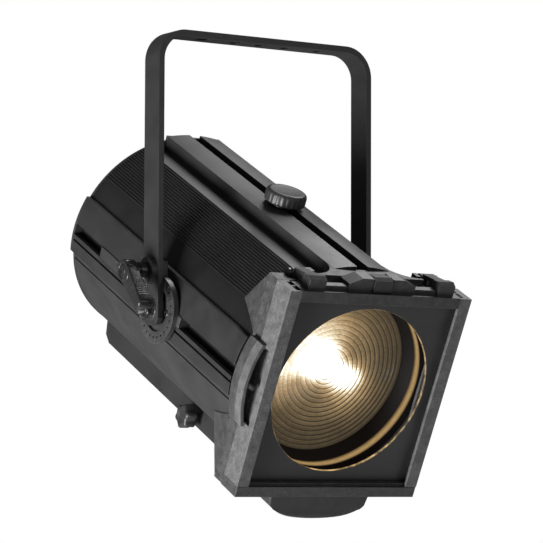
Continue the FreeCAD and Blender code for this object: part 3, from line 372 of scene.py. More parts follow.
@dataclass(frozen=True)
class Coat(Finish):
    """A painted, cast or moulded surface with grain, mottling and worn edges, whose lighter corners are also
    a painted edge highlight.

    Attributes:
        dark: Colour of the darker patches.
        light: Colour of the lighter patches.
        rough: Lowest and highest roughness.
        grain_mm: Size of the surface's grain.
        relief_mm: Height of the grain.
        mottle_mm: Size of the patches.
        speckle: How far the grain itself changes the colour, from 0 to 1.
        edge: Colour that corners wear to, which also paints a highlight along them.
        wear: How strongly they do.
        edge_mm: Radius that corners are seen to have.
        shine: The shader's specular level.
        lit_bore_mm: Radius round the beam inside which painted lamplight tints it, or 0.
    """

    dark: Colour
    light: Colour
    rough: tuple[float, float] = (0.38, 0.5)
    grain_mm: float = 0.9
    relief_mm: float = 0.03
    mottle_mm: float = 30.0
    speckle: float = 0.15
    edge: Colour = (0.16, 0.16, 0.165)
    wear: float = 0.6
    edge_mm: float = 0.7
    shine: float = 0.5
    lit_bore_mm: float = 0.0

    def paint(self, graph: Graph) -> bpy.types.Material:
        """Draw the nodes of this finish."""
        spot = graph.place()
        grain = graph.noise(spot, self.grain_mm, 3.0, 0.6)
        patches = graph.noise(spot, self.mottle_mm, 4.0, 0.62)
        tone = graph.blend(graph.ramp(patches, [(0.32, 0.0), (0.68, 1.0)]), self.dark, self.light)
        fleck = graph.ramp(grain, [(0.35, 1 - self.speckle), (0.65, 1 + self.speckle)])
        tone = graph.blend(1.0, tone, fleck, "MULTIPLY")
        bevel = graph.add("Bevel", {"Radius": self.edge_mm * MM}, samples=6)
        flat = graph.add("NewGeometry").outputs["Normal"]
        # Corners lighten towards the edge colour: partly worn paint, partly a painted highlight along the
        # edges.
        turned_by = graph.math("SUBTRACT", 1.0,
                               graph.vector("DOT_PRODUCT", bevel.outputs[0], flat, out="Value"))
        worn = graph.math("MULTIPLY", graph.ramp(turned_by, [(0.01, 0.0), (0.16, 1.0)]), self.wear)
        scuffed_wear_and_highlight = graph.math("MULTIPLY", worn,
                             graph.ramp(graph.noise(spot, 7.0, 5.0, 0.7), [(0.3, 0.35), (0.7, 1.0)]))
        tone = graph.blend(scuffed_wear_and_highlight, tone, self.edge)
        rough = graph.spread(patches, *self.rough, source=(0.3, 0.7))
        bump = graph.bump(grain, 0.6, self.relief_mm * 2, Normal=bevel.outputs[0])
        lamplight = {}
        # Painted lamplight: emission tints the surface within this radius of the beam.
        if self.lit_bore_mm:
            away = graph.vector("LENGTH", graph.vector("MULTIPLY", graph.place(LAMP), (1, 0, 1)), out="Value")
            near = graph.math("LESS_THAN", away, self.lit_bore_mm * MM)
            uneven = graph.ramp(graph.noise(spot, 14.0, 3.0, 0.7),
                                [(0.4, (0.05, 0.03, 0.01)), (0.65, (0.75, 0.5, 0.2))])
            lamplight = {"Emission_Color": uneven, "Emission_Strength": near}
        return graph.close(Base_Color=tone, Roughness=rough, Normal=bump,
                           Specular_IOR_Level=self.shine, **lamplight)


@dataclass(frozen=True)
class Metal(Finish):
    """Bare or plated metal with fine scratches along one axis.

    Attributes:
        colour: The metal's colour.
        rough: Lowest and highest roughness.
        brushed: How far the scratches are drawn out along each axis.
        spangle_mm: Size of zinc crystals, or 0 for none.
    """

    colour: Colour
    rough: tuple[float, float] = (0.2, 0.35)
    brushed: tuple[float, float, float] = (1.0, 14.0, 1.0)
    spangle_mm: float = 0.0

    def paint(self, graph: Graph) -> bpy.types.Material:
        """Draw the nodes of this finish."""
        streaks = graph.noise(graph.place(LAMP, self.brushed), 0.5, 4.0, 0.7)
        stain = graph.noise(graph.place(), 9.0, 3.0, 0.6)
        dull = tuple(c * 0.72 for c in self.colour)
        tone = graph.blend(graph.ramp(stain, [(0.35, 0.0), (0.7, 1.0)]), dull, self.colour)
        if self.spangle_mm:
            cells = graph.add("TexVoronoi", {"Vector": graph.place(), "Scale": 1 / (self.spangle_mm * MM)})
            grey = graph.ramp(cells.outputs["Color"], [(0.1, 0.7), (0.9, 1.15)])
            tone = graph.blend(1.0, tone, grey, "MULTIPLY")
        rough = graph.spread(streaks, *self.rough)
        bevel = graph.add("Bevel", {"Radius": 0.3 * MM}, samples=4)
        bump = graph.bump(streaks, 0.25, 0.02, Normal=bevel.outputs[0])
        return graph.close(Base_Color=tone, Metallic=1.0, Roughness=rough, Normal=bump)


@dataclass(frozen=True)
class GlowLobe:
    """One patch of painted lamplight on the lens, in millimetres from the lens's axis."""

    x_mm: float
    z_mm: float
    wide_mm: float
    high_mm: float
    gain: float


@dataclass(frozen=True)
class LitGlass(Finish):
    """Pressed glass with painted backlight: its emission paints a hot centre, amber edges, and dark and
    bright lines at each step as painted shade and highlight.

    Attributes:
        lobes: The bright patches.
        eye_mm: Radius of the plain centre, where the steps start.
        pitch_mm: Distance from one step to the next.
        power: The shader's emission strength.
    """

    lobes: tuple[GlowLobe, ...]
    eye_mm: float
    pitch_mm: float
    power: float = 1.7

    def paint(self, graph: Graph) -> bpy.types.Material:
        """Draw the nodes of this finish."""
        spot = graph.place(LAMP)
        flat = graph.vector("MULTIPLY", spot, (1, 0, 1))
        radius = graph.vector("LENGTH", flat, out="Value")
        wobble = graph.noise(spot, 14.0, 3.0, 0.6)
        # Painted lamplight: emission lobes where the lamp shines through the lens.
        painted_glow: object = 0.0
        for lobe in self.lobes:
            offset = graph.vector("SUBTRACT", flat, (lobe.x_mm * MM, 0, lobe.z_mm * MM))
            scaled = graph.vector("MULTIPLY", offset, (1 / (lobe.wide_mm * MM), 0, 1 / (lobe.high_mm * MM)))
            fall = graph.math("EXPONENT", graph.math("MULTIPLY", graph.vector(
                "DOT_PRODUCT", scaled, scaled, out="Value"), -1.0))
            painted_glow = graph.math("MULTIPLY_ADD", fall, lobe.gain, painted_glow)
        painted_glow = graph.math("MULTIPLY", painted_glow, graph.math("MULTIPLY_ADD", wobble, 0.5, 0.75))
        turns = graph.math("MULTIPLY", graph.math("SUBTRACT", radius, self.eye_mm * MM),
                           1 / (self.pitch_mm * MM))
        phase = graph.math("FRACT", turns)
        # Painted highlight and shade: each step gets a dark line, then a bright one, brightened further by a
        # painted sheen.
        rim = graph.ramp(phase, [(0.0, 0.0), (0.05, 0.1), (0.1, 1.0), (0.22, 0.78), (0.6, 0.7), (0.9, 0.62),
                                 (0.96, 0.1), (1.0, 0.0)])
        step = graph.add("CombineXYZ", {0: graph.math("FLOOR", turns)}).outputs[0]
        uneven = graph.math("MULTIPLY_ADD", graph.add("TexWhiteNoise", {"Vector": step}).outputs[0], 0.35,
                            0.8)
        sheen = graph.noise(graph.place(LAMP, (1.6, 1, 0.7)), 2.4, 5.0, 0.8)
        rings = graph.math("MULTIPLY", graph.math("MULTIPLY", rim, uneven),
                           graph.math("MULTIPLY_ADD", sheen, 1.6, 0.2))
        core = graph.math("MULTIPLY", graph.math("POWER", painted_glow, 3.0), 0.4)
        painted_glow_total = graph.math("MULTIPLY_ADD", painted_glow, graph.math("MULTIPLY_ADD", rings, 1.0, 0.12), core)
        tone = graph.ramp(painted_glow_total, [
            (0.0, (0.010, 0.008, 0.006)), (0.1, (0.033, 0.025, 0.015)), (0.25, (0.11, 0.078, 0.040)),
            (0.45, (0.25, 0.165, 0.08)), (0.65, (0.46, 0.37, 0.23)), (0.85, (0.70, 0.65, 0.54)),
            (1.0, (1.0, 0.98, 0.93))])
        stipple = graph.noise(spot, 0.9, 2.0, 0.6)
        bump = graph.bump(stipple, 0.35, 0.1)
        return graph.close(Base_Color=(0.03, 0.026, 0.02), Roughness=0.16, Normal=bump,
                           Specular_IOR_Level=0.6, Emission_Color=tone, Emission_Strength=self.power)


@dataclass(frozen=True)
class WarmBand(Finish):
    """A dark metal wall with painted lamplight: emission paints one band along the beam.

    Attributes:
        near: Front edge of the band along the beam, in metres.
        far: Rear edge of the band.
        power: The shader's emission strength.
        colour: The band's brightest colour.
    """

    near: float
    far: float
    power: float = 1.0
    colour: Colour = (0.62, 0.40, 0.16)

    def paint(self, graph: Graph) -> bpy.types.Material:
        """Draw the nodes of this finish."""
        spot = graph.place(LAMP)
        along = graph.add("SeparateXYZ", {0: spot}).outputs[1]
        where = graph.spread(along, 0.0, 1.0, source=(self.near, self.far))
        band = graph.ramp(where, [(0.0, 0.0), (0.22, 0.75), (0.5, 1.0), (0.75, 0.55), (1.0, 0.0)])
        streaks = graph.noise(graph.place(LAMP, (1, 0.2, 1)), 6.0, 4.0, 0.65)
        glow = graph.math("MULTIPLY", band, graph.math("MULTIPLY_ADD", streaks, 1.1, 0.35))
        tone = graph.blend(glow, (0.003, 0.002, 0.002), self.colour)
        grain = graph.noise(spot, 1.2, 2.0, 0.5)
        bump = graph.bump(grain, 0.3, 0.05)
        return graph.close(Base_Color=(0.008, 0.007, 0.006), Roughness=0.6, Specular_IOR_Level=0.15,
                           Normal=bump, Emission_Color=tone, Emission_Strength=self.power)


@dataclass(frozen=True)
class Mineral(Finish):
    """Fired ceramic or woven glass tape.

    Attributes:
        colour: The body colour.
        weave_mm: The weave's pitch, or 0 for a plain fired surface.
    """

    colour: Colour
    weave_mm: float = 0.0

    def paint(self, graph: Graph) -> bpy.types.Material:
        """Draw the nodes of this finish."""
        spot = graph.place(LAMP)
        cloud = graph.noise(spot, 6.0, 4.0, 0.6)
        height = graph.noise(spot, 0.8, 2.0, 0.5)
        if self.weave_mm:
            height = graph.add("TexWave", {"Vector": spot, "Scale": 0.3 / (self.weave_mm * MM),
                                           "Distortion": 1.5}, wave_type="RINGS").outputs[1]
        tone = graph.blend(cloud, tuple(c * 0.8 for c in self.colour), self.colour)
        bump = graph.bump(height, 0.5, 0.1)
        return graph.close(Base_Color=tone, Roughness=0.7, Normal=bump)


@dataclass(frozen=True)
class Quartz(Finish):
    """Clear lamp glass with faint haze near its pinch."""

    def paint(self, graph: Graph) -> bpy.types.Material:
        """Draw the nodes of this finish."""
        haze = graph.noise(graph.place(LAMP), 8.0, 3.0, 0.6)
        rough = graph.spread(haze, 0.01, 0.12)
        tone = graph.blend(haze, (0.97, 0.95, 0.9), (0.9, 0.86, 0.78))
        return graph.close(Base_Color=tone, Roughness=rough, IOR=1.46, Transmission_Weight=1.0)


@dataclass(frozen=True)
class HotWire(Finish):
    """A glowing tungsten coil."""

    power: float = 6.0

    def paint(self, graph: Graph) -> bpy.types.Material:
        """Draw the nodes of this finish."""
        spot = graph.place(LAMP)
        flicker = graph.noise(spot, 2.0, 2.0, 0.5)
        tone = graph.blend(flicker, (1.0, 0.62, 0.28), (1.0, 0.85, 0.6))
        return graph.close(Base_Color=(0.3, 0.28, 0.25), Metallic=1.0, Roughness=0.4,
                           Emission_Color=tone, Emission_Strength=self.power)


SATIN = Coat("satin_coat", "black_coat", (0.019, 0.019, 0.0195), (0.027, 0.027, 0.0275),
             edge=(0.08, 0.08, 0.08), wear=0.35)
# Painted light: a lighter copy of the satin coat, which paints onto the lower shells the light that falls on
# them.
SATIN_PAINTED_LIT = replace(SATIN, name="satin_coat_light", dark=(0.02752, 0.02752, 0.02795),
                      light=(0.03698, 0.03698, 0.03741), edge=(0.1, 0.1, 0.1))
SATIN_STEEL = replace(SATIN_PAINTED_LIT, name="satin_coat_on_steel", slot="steel_coat",
                      dark=(0.01968, 0.01968, 0.02009), light=(0.02542, 0.02542, 0.02583))
RIBBED = Coat("ribbed_coat", "black_coat", (0.010, 0.010, 0.0102), (0.014, 0.014, 0.0142), (0.46, 0.56),
              wear=0.0, edge_mm=0.25, shine=0.3)
CAST = Coat("cast_coat", "cast_black", (0.032, 0.032, 0.0325), (0.062, 0.062, 0.063), (0.42, 0.6),
            grain_mm=1.4,
            relief_mm=0.07, mottle_mm=8.0, speckle=0.32, edge=(0.16, 0.16, 0.16), wear=0.4, edge_mm=0.6)
# Painted light: a lighter copy of the cast coat, which paints onto the runners the light that falls on their
# sides.
CAST_PAINTED_LIT = replace(CAST, name="cast_coat_light", dark=(0.07, 0.07, 0.071), light=(0.125, 0.125, 0.126),
                     edge=(0.24, 0.24, 0.24), wear=0.35)
# Painted shade: a darker copy of the cast coat, which paints shade onto the retainer and the hinge ears.
CAST_PAINTED_SHADE = replace(CAST, name="cast_coat_dark", dark=(0.026, 0.026, 0.0265), light=(0.05, 0.05, 0.051),
                    rough=(0.38, 0.52), relief_mm=0.06, speckle=0.3, edge=(0.2, 0.2, 0.2), wear=0.45,
                    edge_mm=0.5)
DISC = Coat("disc_coat", "disc_coat", (0.028, 0.028, 0.029), (0.045, 0.045, 0.046), (0.3, 0.42),
            edge=(0.25, 0.25, 0.25), edge_mm=0.5)
INK = Coat("graduation_ink", "disc_coat", (0.13, 0.13, 0.13), (0.2, 0.2, 0.2), (0.5, 0.6), wear=0.0)
MOULDED = Coat("moulded_black", "black_plastic", (0.022, 0.022, 0.023), (0.034, 0.034, 0.035), (0.36, 0.5),
               grain_mm=0.7, relief_mm=0.04, mottle_mm=12.0, speckle=0.12, edge=(0.06, 0.06, 0.06), wear=0.25,
               edge_mm=0.9)
GLOSSY = replace(MOULDED, name="glossy_black", dark=(0.016, 0.016, 0.0165), light=(0.026, 0.026, 0.0265),
                 rough=(0.2, 0.3), relief_mm=0.02, speckle=0.1, edge_mm=0.7)
NYLON = replace(MOULDED, name="nylon", slot="gland", dark=(0.02, 0.02, 0.02), light=(0.03, 0.03, 0.03),
                rough=(0.42, 0.52), grain_mm=0.8, relief_mm=0.03, mottle_mm=10.0, speckle=0.1, wear=0.3,
                edge_mm=0.6)
BLACK_STEEL = Coat("blackened_steel", "black_steel", (0.008, 0.008, 0.009), (0.016, 0.015, 0.014),
                   (0.25, 0.38),
                   grain_mm=0.6, relief_mm=0.015, mottle_mm=5.0, speckle=0.2, edge=(0.12, 0.12, 0.12),
                   wear=0.35,
                   edge_mm=0.3, shine=0.5)
GATE = Coat("gate_coat", "steel_coat", (0.028, 0.028, 0.029), (0.036, 0.036, 0.038), (0.4, 0.5), grain_mm=0.8,
            relief_mm=0.02, mottle_mm=40.0, speckle=0.1, edge=(0.09, 0.09, 0.09), wear=0.3, edge_mm=0.4,
            shine=0.5, lit_bore_mm=85.7)
NICKEL = Metal("bright_nickel", "nickel", (0.72, 0.71, 0.69), (0.08, 0.2))
STEEL = Metal("ground_steel", "steel", (0.5, 0.5, 0.51))
ZINC = Metal("zinc_sheet", "sheet_steel", (0.55, 0.56, 0.58), (0.3, 0.5), (1, 1, 1), 6.0)
MACHINED = Metal("machined_aluminium", "bare_cast", (0.42, 0.42, 0.43), (0.3, 0.45))
GREY_BAR = Metal("anodised_bar", "bare_cast", (0.3, 0.3, 0.305), (0.34, 0.48))
BRASS = Metal("plain_brass", "brass", (0.66, 0.48, 0.2), (0.22, 0.4))
MIRROR = Metal("polished_reflector", "reflector", (0.9, 0.9, 0.9), (0.03, 0.1))
STEATITE = Mineral("steatite", "ceramic", (0.8, 0.77, 0.7))
TAPE = Mineral("glass_tape", "gasket", (0.3, 0.28, 0.25), 1.4)
QUARTZ = Quartz("quartz", "lamp_glass")
TUNGSTEN = HotWire("tungsten", "filament")


def dress(nodes: dict[str, Finish]) -> None:
    """Give CAD nodes their finishes.

    Args:
        nodes: The finish of each node, by the node's name.
    """
    for name, finish in nodes.items():
        slots = frame["nodes"][name].material_slots
        if not slots:
            frame["nodes"][name].data.materials.append(finish.material())
        for slot in slots:
            slot.material = finish.material()


# ---------------------------------------------------------------- mesh building

def skin(rings: Sequence[Sequence[Vector]], wrap: bool = False) -> bmesh.types.BMesh:
    """Stretch a closed skin over rings that have the same number of points.

    Args:
        rings: The rings in order. A ring of one point is a pole.
        wrap: Whether the last ring joins the first, in place of caps.

    Returns:
        The closed mesh.
    """
    mesh = bmesh.new()
    rows = [[mesh.verts.new(point) for point in ring] for ring in rings]
    pairs = list(zip(rows, rows[1:])) + ([(rows[-1], rows[0])] if wrap else [])
    for lower, upper in pairs:
        count = max(len(lower), len(upper))
        for i in range(count):
            j = (i + 1) % count
            corners = [lower[i % len(lower)], lower[j % len(lower)], upper[j % len(upper)],
                       upper[i % len(upper)]]
            mesh.faces.new(dict.fromkeys(corners))
    if not wrap:
        for row in (rows[0], rows[-1]):
            if len(row) > 2:
                mesh.faces.new(row)
    bmesh.ops.recalc_face_normals(mesh, faces=mesh.faces)
    return mesh


def spun(profile: Sequence[tuple[float, Radius]], segments: int = 64,
         wrap: bool = False) -> bmesh.types.BMesh:
    """Turn a profile about Z, with a radius that may change round the turn.

    Args:
        profile: Pairs of a height and a radius, or a function from angle to radius.
        segments: Points round the turn.
        wrap: Whether the profile is a closed loop.

    Returns:
        The closed mesh.
    """
    rings = []
    for height, radius in profile:
        if radius == 0:
            rings.append([Vector((0, 0, height))])
            continue
        ring = []
        for i in range(segments):
            angle = 2 * math.pi * i / segments
            reach = radius(angle) if callable(radius) else radius
            ring.append(Vector((reach * math.cos(angle), reach * math.sin(angle), height)))
        rings.append(ring)
    return skin(rings, wrap)


def lobed(radius: float, depth: float, count: int, sharp: float = 1.0) -> Callable[[float], float]:
    """Make the radius of a fluted or lobed outline.

    Args:
        radius: Radius on the crests.
        depth: Depth of the hollows.
        count: Number of hollows.
        sharp: Above 1 the hollows are narrow, below 1 they are wide.

    Returns:
        A function from angle to radius.
    """
    return lambda angle: radius - depth * (0.5 + 0.5 * math.cos(count * angle)) ** sharp


def hexagonal(across_corners: float) -> Callable[[float], float]:
    """Make the radius of a hexagon, given its size across corners."""
    flat = across_corners / 2 * math.cos(math.pi / 6)
    return lambda angle: flat / math.cos((angle + math.pi / 6) % (math.pi / 3) - math.pi / 6)


def join(*parts: bmesh.types.BMesh) -> bmesh.types.BMesh:
    """Put several meshes into one."""
    whole = bmesh.new()
    for part in parts:
        loose = bpy.data.meshes.new("loose")
        part.to_mesh(loose)
        whole.from_mesh(loose)
        bpy.data.meshes.remove(loose)
        part.free()
    return whole


def moved(mesh: bmesh.types.BMesh, matrix: Matrix) -> bmesh.types.BMesh:
    """Place a mesh by a matrix."""
    mesh.transform(matrix)
    return mesh


def softened(mesh: bmesh.types.BMesh, width: float, segments: int = 3) -> bmesh.types.BMesh:
    """Round a mesh's sharp edges.

    Args:
        mesh: The mesh, which is used up.
        width: The rounding's width.
        segments: Its number of facets.

    Returns:
        The rounded mesh.
    """
    edges = [e for e in mesh.edges if len(e.link_faces) == 2 and e.calc_face_angle() > math.radians(30)]
    bmesh.ops.bevel(mesh, geom=edges, offset=width, segments=segments, profile=0.5, affect="EDGES",
                    clamp_overlap=True)
    return mesh


def as_object(name: str, mesh: bmesh.types.BMesh) -> bpy.types.Object:
    """Turn a mesh under construction into an object in the scene."""
    data = bpy.data.meshes.new(name)
    mesh.to_mesh(data)
    mesh.free()
    piece = bpy.data.objects.new(name, data)
    bpy.context.scene.collection.objects.link(piece)
    return piece


def settle(name: str, mesh: bmesh.types.BMesh, finish: Finish, body: Body, *stands_for: str,
           sharp_angle: float = 32.0) -> None:
    """Make a piece of a finished mesh: smooth it, paint it and fasten it.

    Args:
        name: The piece's name.
        mesh: Its mesh, placed in the frame.
        finish: Its finish.
        body: The body that it rides on.
        *stands_for: CAD nodes that it replaces.
        sharp_angle: Edges that turn by more degrees than this stay sharp.
    """
    piece = as_object(name, mesh)
    data = piece.data
    data.polygons.foreach_set("use_smooth", [True] * len(data.polygons))
    data.set_sharp_from_angle(angle=math.radians(sharp_angle))
    data.materials.clear()
    data.materials.append(finish.material())
    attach(piece, body.value)
    if stands_for:
        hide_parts(*stands_for)
    LOG.info("%s: %d faces on %s, for %s", piece.name, len(data.polygons), body.value, stands_for or "itself")


# ---------------------------------------------------------------- geometry nodes

class Repeater:
    """A Geometry Nodes tree that copies one shape many times."""

    def __init__(self, title: str) -> None:
        """Start the tree with its geometry sockets.

        Args:
            title: The tree's name.
        """
        self.tree = bpy.data.node_groups.new(title, "GeometryNodeTree")
        self.tree.interface.new_socket("Geometry", in_out="INPUT", socket_type="NodeSocketGeometry")
        self.tree.interface.new_socket("Geometry", in_out="OUTPUT", socket_type="NodeSocketGeometry")

    def named(self, **kinds: str) -> bpy.types.Node:
        """Add the named inputs.

        Args:
            **kinds: The kind of each input, such as Float, by its name.

        Returns:
            The Group Input node.
        """
        for name, kind in kinds.items():
            self.tree.interface.new_socket(name, in_out="INPUT", socket_type="NodeSocket" + kind)
        return self.tree.nodes.new("NodeGroupInput")

    def node(self, kind: str, sockets: dict | None = None, **settings: object) -> bpy.types.Node:
        """Add a node and feed its inputs with links or constants."""
        node = self.tree.nodes.new(kind)
        for key, value in settings.items():
            setattr(node, key, value)
        for key, value in (sockets or {}).items():
            if isinstance(value, bpy.types.NodeSocket):
                self.tree.links.new(value, node.inputs[key])
            else:
                node.inputs[key].default_value = value
        return node

    def end(self, instances: bpy.types.NodeSocket, finish: bpy.types.NodeSocket) -> None:
        """Realize the copies, paint them and close the tree."""
        real = self.node("GeometryNodeRealizeInstances", {"Geometry": instances})
        paint = self.node("GeometryNodeSetMaterial", {"Geometry": real.outputs[0], "Material": finish})
        self.node("NodeGroupOutput", {"Geometry": paint.outputs[0]})

    @classmethod
    @cache
    def round_axis(cls) -> "Repeater":
        """The tree that copies a shape round an axis through the origin."""
        made = cls("repeat_round_axis")
        given = made.named(Count="Int", Step="Float", Start="Float", Axis="Vector", Finish="Material")
        points = made.node("GeometryNodePoints", {"Count": given.outputs["Count"]})
        index = made.node("GeometryNodeInputIndex")
        turn = made.node("ShaderNodeMath", {0: index.outputs[0], 1: given.outputs["Step"],
                                            2: given.outputs["Start"]}, operation="MULTIPLY_ADD")
        angle = made.node("FunctionNodeAxisAngleToRotation", {"Axis": given.outputs["Axis"],
                                                              "Angle": turn.outputs[0]})
        copies = made.node("GeometryNodeInstanceOnPoints", {
            "Points": points.outputs[0], "Instance": given.outputs["Geometry"], "Rotation": angle.outputs[0]})
        made.end(copies.outputs[0], given.outputs["Finish"])
        return made

    @classmethod
    @cache
    def in_line(cls) -> "Repeater":
        """The tree that copies a shape along a straight line."""
        made = cls("repeat_in_line")
        given = made.named(Count="Int", Gap="Vector", Finish="Material")
        line = made.node("GeometryNodeMeshLine", {"Count": given.outputs["Count"],
                                                  "Offset": given.outputs["Gap"]})
        copies = made.node("GeometryNodeInstanceOnPoints", {
            "Points": line.outputs[0], "Instance": given.outputs["Geometry"]})
        made.end(copies.outputs[0], given.outputs["Finish"])
        return made

    @classmethod
    @cache
    def on_spots(cls) -> "Repeater":
        """The tree that sets a shape on each vertex, turned by a seeded chance about an axis."""
        made = cls("repeat_on_spots")
        given = made.named(Part="Object", Axis="Vector", Seed="Int", Finish="Material")
        chance = made.node("FunctionNodeRandomValue", {"Seed": given.outputs["Seed"]}, data_type="FLOAT")
        chance.inputs[3].default_value = 2 * math.pi
        angle = made.node("FunctionNodeAxisAngleToRotation", {"Axis": given.outputs["Axis"],
                                                              "Angle": chance.outputs[1]})
        part = made.node("GeometryNodeObjectInfo", {"Object": given.outputs["Part"]})
        copies = made.node("GeometryNodeInstanceOnPoints", {
            "Points": given.outputs["Geometry"], "Instance": part.outputs["Geometry"],
            "Rotation": angle.outputs[0]})
        made.end(copies.outputs[0], given.outputs["Finish"])
        return made

    def grow(self, seed_shape: bmesh.types.BMesh, **values: object) -> bmesh.types.BMesh:
        """Run the tree on a shape.

        Args:
            seed_shape: The shape or the spots, which are used up.
            **values: The named inputs.

        Returns:
            The plain mesh that results.
        """
        source = as_object("source", seed_shape)
        modifier = source.modifiers.new("repeat", "NODES")
        modifier.node_group = self.tree
        for item in self.tree.interface.items_tree:
            if item.in_out == "INPUT" and item.name in values:
                modifier[item.identifier] = values[item.name]
        source.update_tag()
        graph = bpy.context.evaluated_depsgraph_get()
        grown = bpy.data.meshes.new_from_object(source.evaluated_get(graph), depsgraph=graph)
        result = bmesh.new()
        result.from_mesh(grown)
        source.modifiers.remove(modifier)
        bpy.data.objects.remove(source)
        bpy.data.meshes.remove(grown)
        return result


def set_on(spots: Sequence[Vector], part: bmesh.types.BMesh, axis: Vector, finish: Finish,
           seed: int) -> bmesh.types.BMesh:
    """Set copies of a part on spots with Geometry Nodes.

    Args:
        spots: Where the copies go.
        part: The part, built round the origin.
        axis: The axis that chance turns it about.
        finish: Its finish.
        seed: The seed of that chance.

    Returns:
        The mesh of all the copies.
    """
    points = bmesh.new()
    for spot in spots:
        points.verts.new(spot)
    shape = as_object("part", part)
    grown = Repeater.on_spots().grow(points, Part=shape, Axis=axis, Seed=seed, Finish=finish.material())
    bpy.data.objects.remove(shape)
    return grown


# ---------------------------------------------------------------- fasteners

@dataclass(frozen=True)
class CapScrew:
    """A round-headed screw with a hexagonal socket, built along +Z from under its head.

    Attributes:
        radius: The head's radius.
        height: The head's height.
        shank: The shank's radius.
        below: How far the shank goes down.
    """

    radius: float
    height: float
    shank: float
    below: float

    def build(self) -> bmesh.types.BMesh:
        """Build the screw."""
        socket = hexagonal(self.radius * 1.15)
        return spun([
            (-self.below, self.shank), (0, self.shank), (0, self.radius * 0.97),
            (self.height * 0.08, self.radius),
            (self.height * 0.6, self.radius), (self.height * 0.85, self.radius * 0.94),
            (self.height, self.radius * 0.8), (self.height, self.radius * 0.66),
            (self.height * 0.93, socket), (self.height * 0.35, socket), (self.height * 0.3, 0),
        ], 36)


@dataclass(frozen=True)
class HexNut:
    """A chamfered hexagonal nut, built along +Z.

    Attributes:
        across: Its size across corners.
        height: Its height.
        bore: The bore's radius.
    """

    across: float
    height: float
    bore: float

    def build(self) -> bmesh.types.BMesh:
        """Build the nut with a washer face and both chamfers."""
        flat, six = self.across / 2 * math.cos(math.pi / 6), hexagonal(self.across)
        worn = [lambda angle, k=k: min(six(angle), flat * k) for k in (1.0, 1.07)]
        return spun([
            (0, self.bore), (0, worn[0]), (self.height * 0.08, worn[1]), (self.height * 0.14, six),
            (self.height * 0.84, six), (self.height * 0.93, worn[1]), (self.height, worn[0]),
            (self.height, self.bore * 1.15), (self.height * 0.92, self.bore),
        ], 72, wrap=True)


@dataclass(frozen=True)
class ThumbScrew:
    """A knurled screw with a turned-down tip, built along +Z from the knurl's foot.

    Attributes:
        radius: The knurl's radius.
        height: The knurl's height.
        tip: The tip's radius.
        tip_height: How far the tip stands up.
        shank: The shank's radius.
        below: How far the shank goes down.
    """

    radius: float
    height: float
    tip: float
    tip_height: float
    shank: float
    below: float

    def build(self) -> bmesh.types.BMesh:
        """Build the screw."""
        knurl = lobed(self.radius, self.radius * 0.08, 18)
        return spun([
            (-self.below, self.shank), (0, self.shank), (0, self.radius * 0.85), (self.height * 0.08, knurl),
            (self.height * 0.44, knurl), (self.height * 0.47, self.radius * 0.86),
            (self.height * 0.53, self.radius * 0.86), (self.height * 0.56, knurl),
            (self.height * 0.92, knurl),
            (self.height, self.radius * 0.82), (self.height, self.tip),
            (self.height + self.tip_height * 0.85, self.tip), (self.height + self.tip_height, self.tip * 0.8),
            (self.height + self.tip_height * 0.9, 0),
        ], 72)


# ---------------------------------------------------------------- the lantern's sub-assemblies

@dataclass
class Optics:
    """The stepped lens with its barrel, carrier and gasket.

    Attributes:
        steps: Number of steps on the lens's front.
        step_deep: Depth of the outermost step.
        eye: Radius of the plain centre.
        rim: Width of the plain edge.
        flange: Thickness of the plain edge.
        segments: Points round the lens.
        lobes: The patches of painted lamplight that the lamp is shown making on it.
        lit_from: Where the lit band of the barrel starts, from its front.
        lit_to: Where the band ends.
    """

    steps: int = 15
    step_deep: float = 2.6 * MM
    eye: float = 9.0 * MM
    rim: float = 4.0 * MM
    flange: float = 4.0 * MM
    segments: int = 160
    lit_from: float = 0.4 * MM
    lit_to: float = 11.0 * MM
    lobes: tuple[GlowLobe, ...] = (
        GlowLobe(-11, 11, 20, 18, 1.2), GlowLobe(25, -7, 19, 14, 0.95), GlowLobe(6, 2, 15, 11, 0.35),
        GlowLobe(-66, 1, 44, 15, 0.48), GlowLobe(-34, 40, 52, 34, 0.5), GlowLobe(0, 0, 100, 100, 0.24),
        GlowLobe(32, -28, 30, 20, 0.22), GlowLobe(-62, -24, 40, 16, 0.2),
    )

    def lens(self) -> None:
        """Build the lens: a plain eye, then rings that each slope back to a riser."""
        low, high = LAMP.extent("lens")
        edge, back, front = high.x, high.y, low.y
        ledge = back - self.flange
        inner = edge - self.rim
        pitch = (inner - self.eye) / self.steps
        profile: list[tuple[float, Radius]] = [(back, 0), (back, edge - 0.4 * MM), (back - 0.4 * MM, edge),
                                               (ledge, edge), (ledge, inner)]
        for step in reversed(range(self.steps)):
            outer, inward = self.eye + (step + 1) * pitch, self.eye + step * pitch
            deep = self.step_deep * (0.35 + 0.65 * (step + 1) / self.steps)
            for part in (1.0, 0.66, 0.33):
                profile.append((front + 0.3 * MM + deep * part ** 1.6, inward + (outer - inward) * part))
            profile.append((front + 0.3 * MM, inward + 0.12 * pitch))
        profile += [(front + 0.9 * MM, self.eye), (front + 0.3 * MM, self.eye * 0.5), (front + 0.1 * MM, 0)]
        mesh = moved(spun(profile, self.segments), LAMP.matrix @ towards((0, 1, 0)))
        glass = LitGlass("lit_lens", "lens_glass", self.lobes, self.eye / MM, pitch / MM)
        settle("stepped_lens", mesh, glass, Body.HOUSING, "lens", sharp_angle=22)

    def build(self) -> None:
        """Build the lens and dress what holds it."""
        self.lens()
        front = LAMP.extent("lens_barrel")[0].y
        # Painted lamplight on the barrel's inside wall.
        lit = WarmBand("lit_barrel", "bare_cast", front + self.lit_from, front + self.lit_to, 0.75)
        dress({"lens_barrel": lit, "lens_carrier": MACHINED, "lens_gasket": TAPE, "carrier_screws": STEEL,
               "inner_baffle": ZINC})


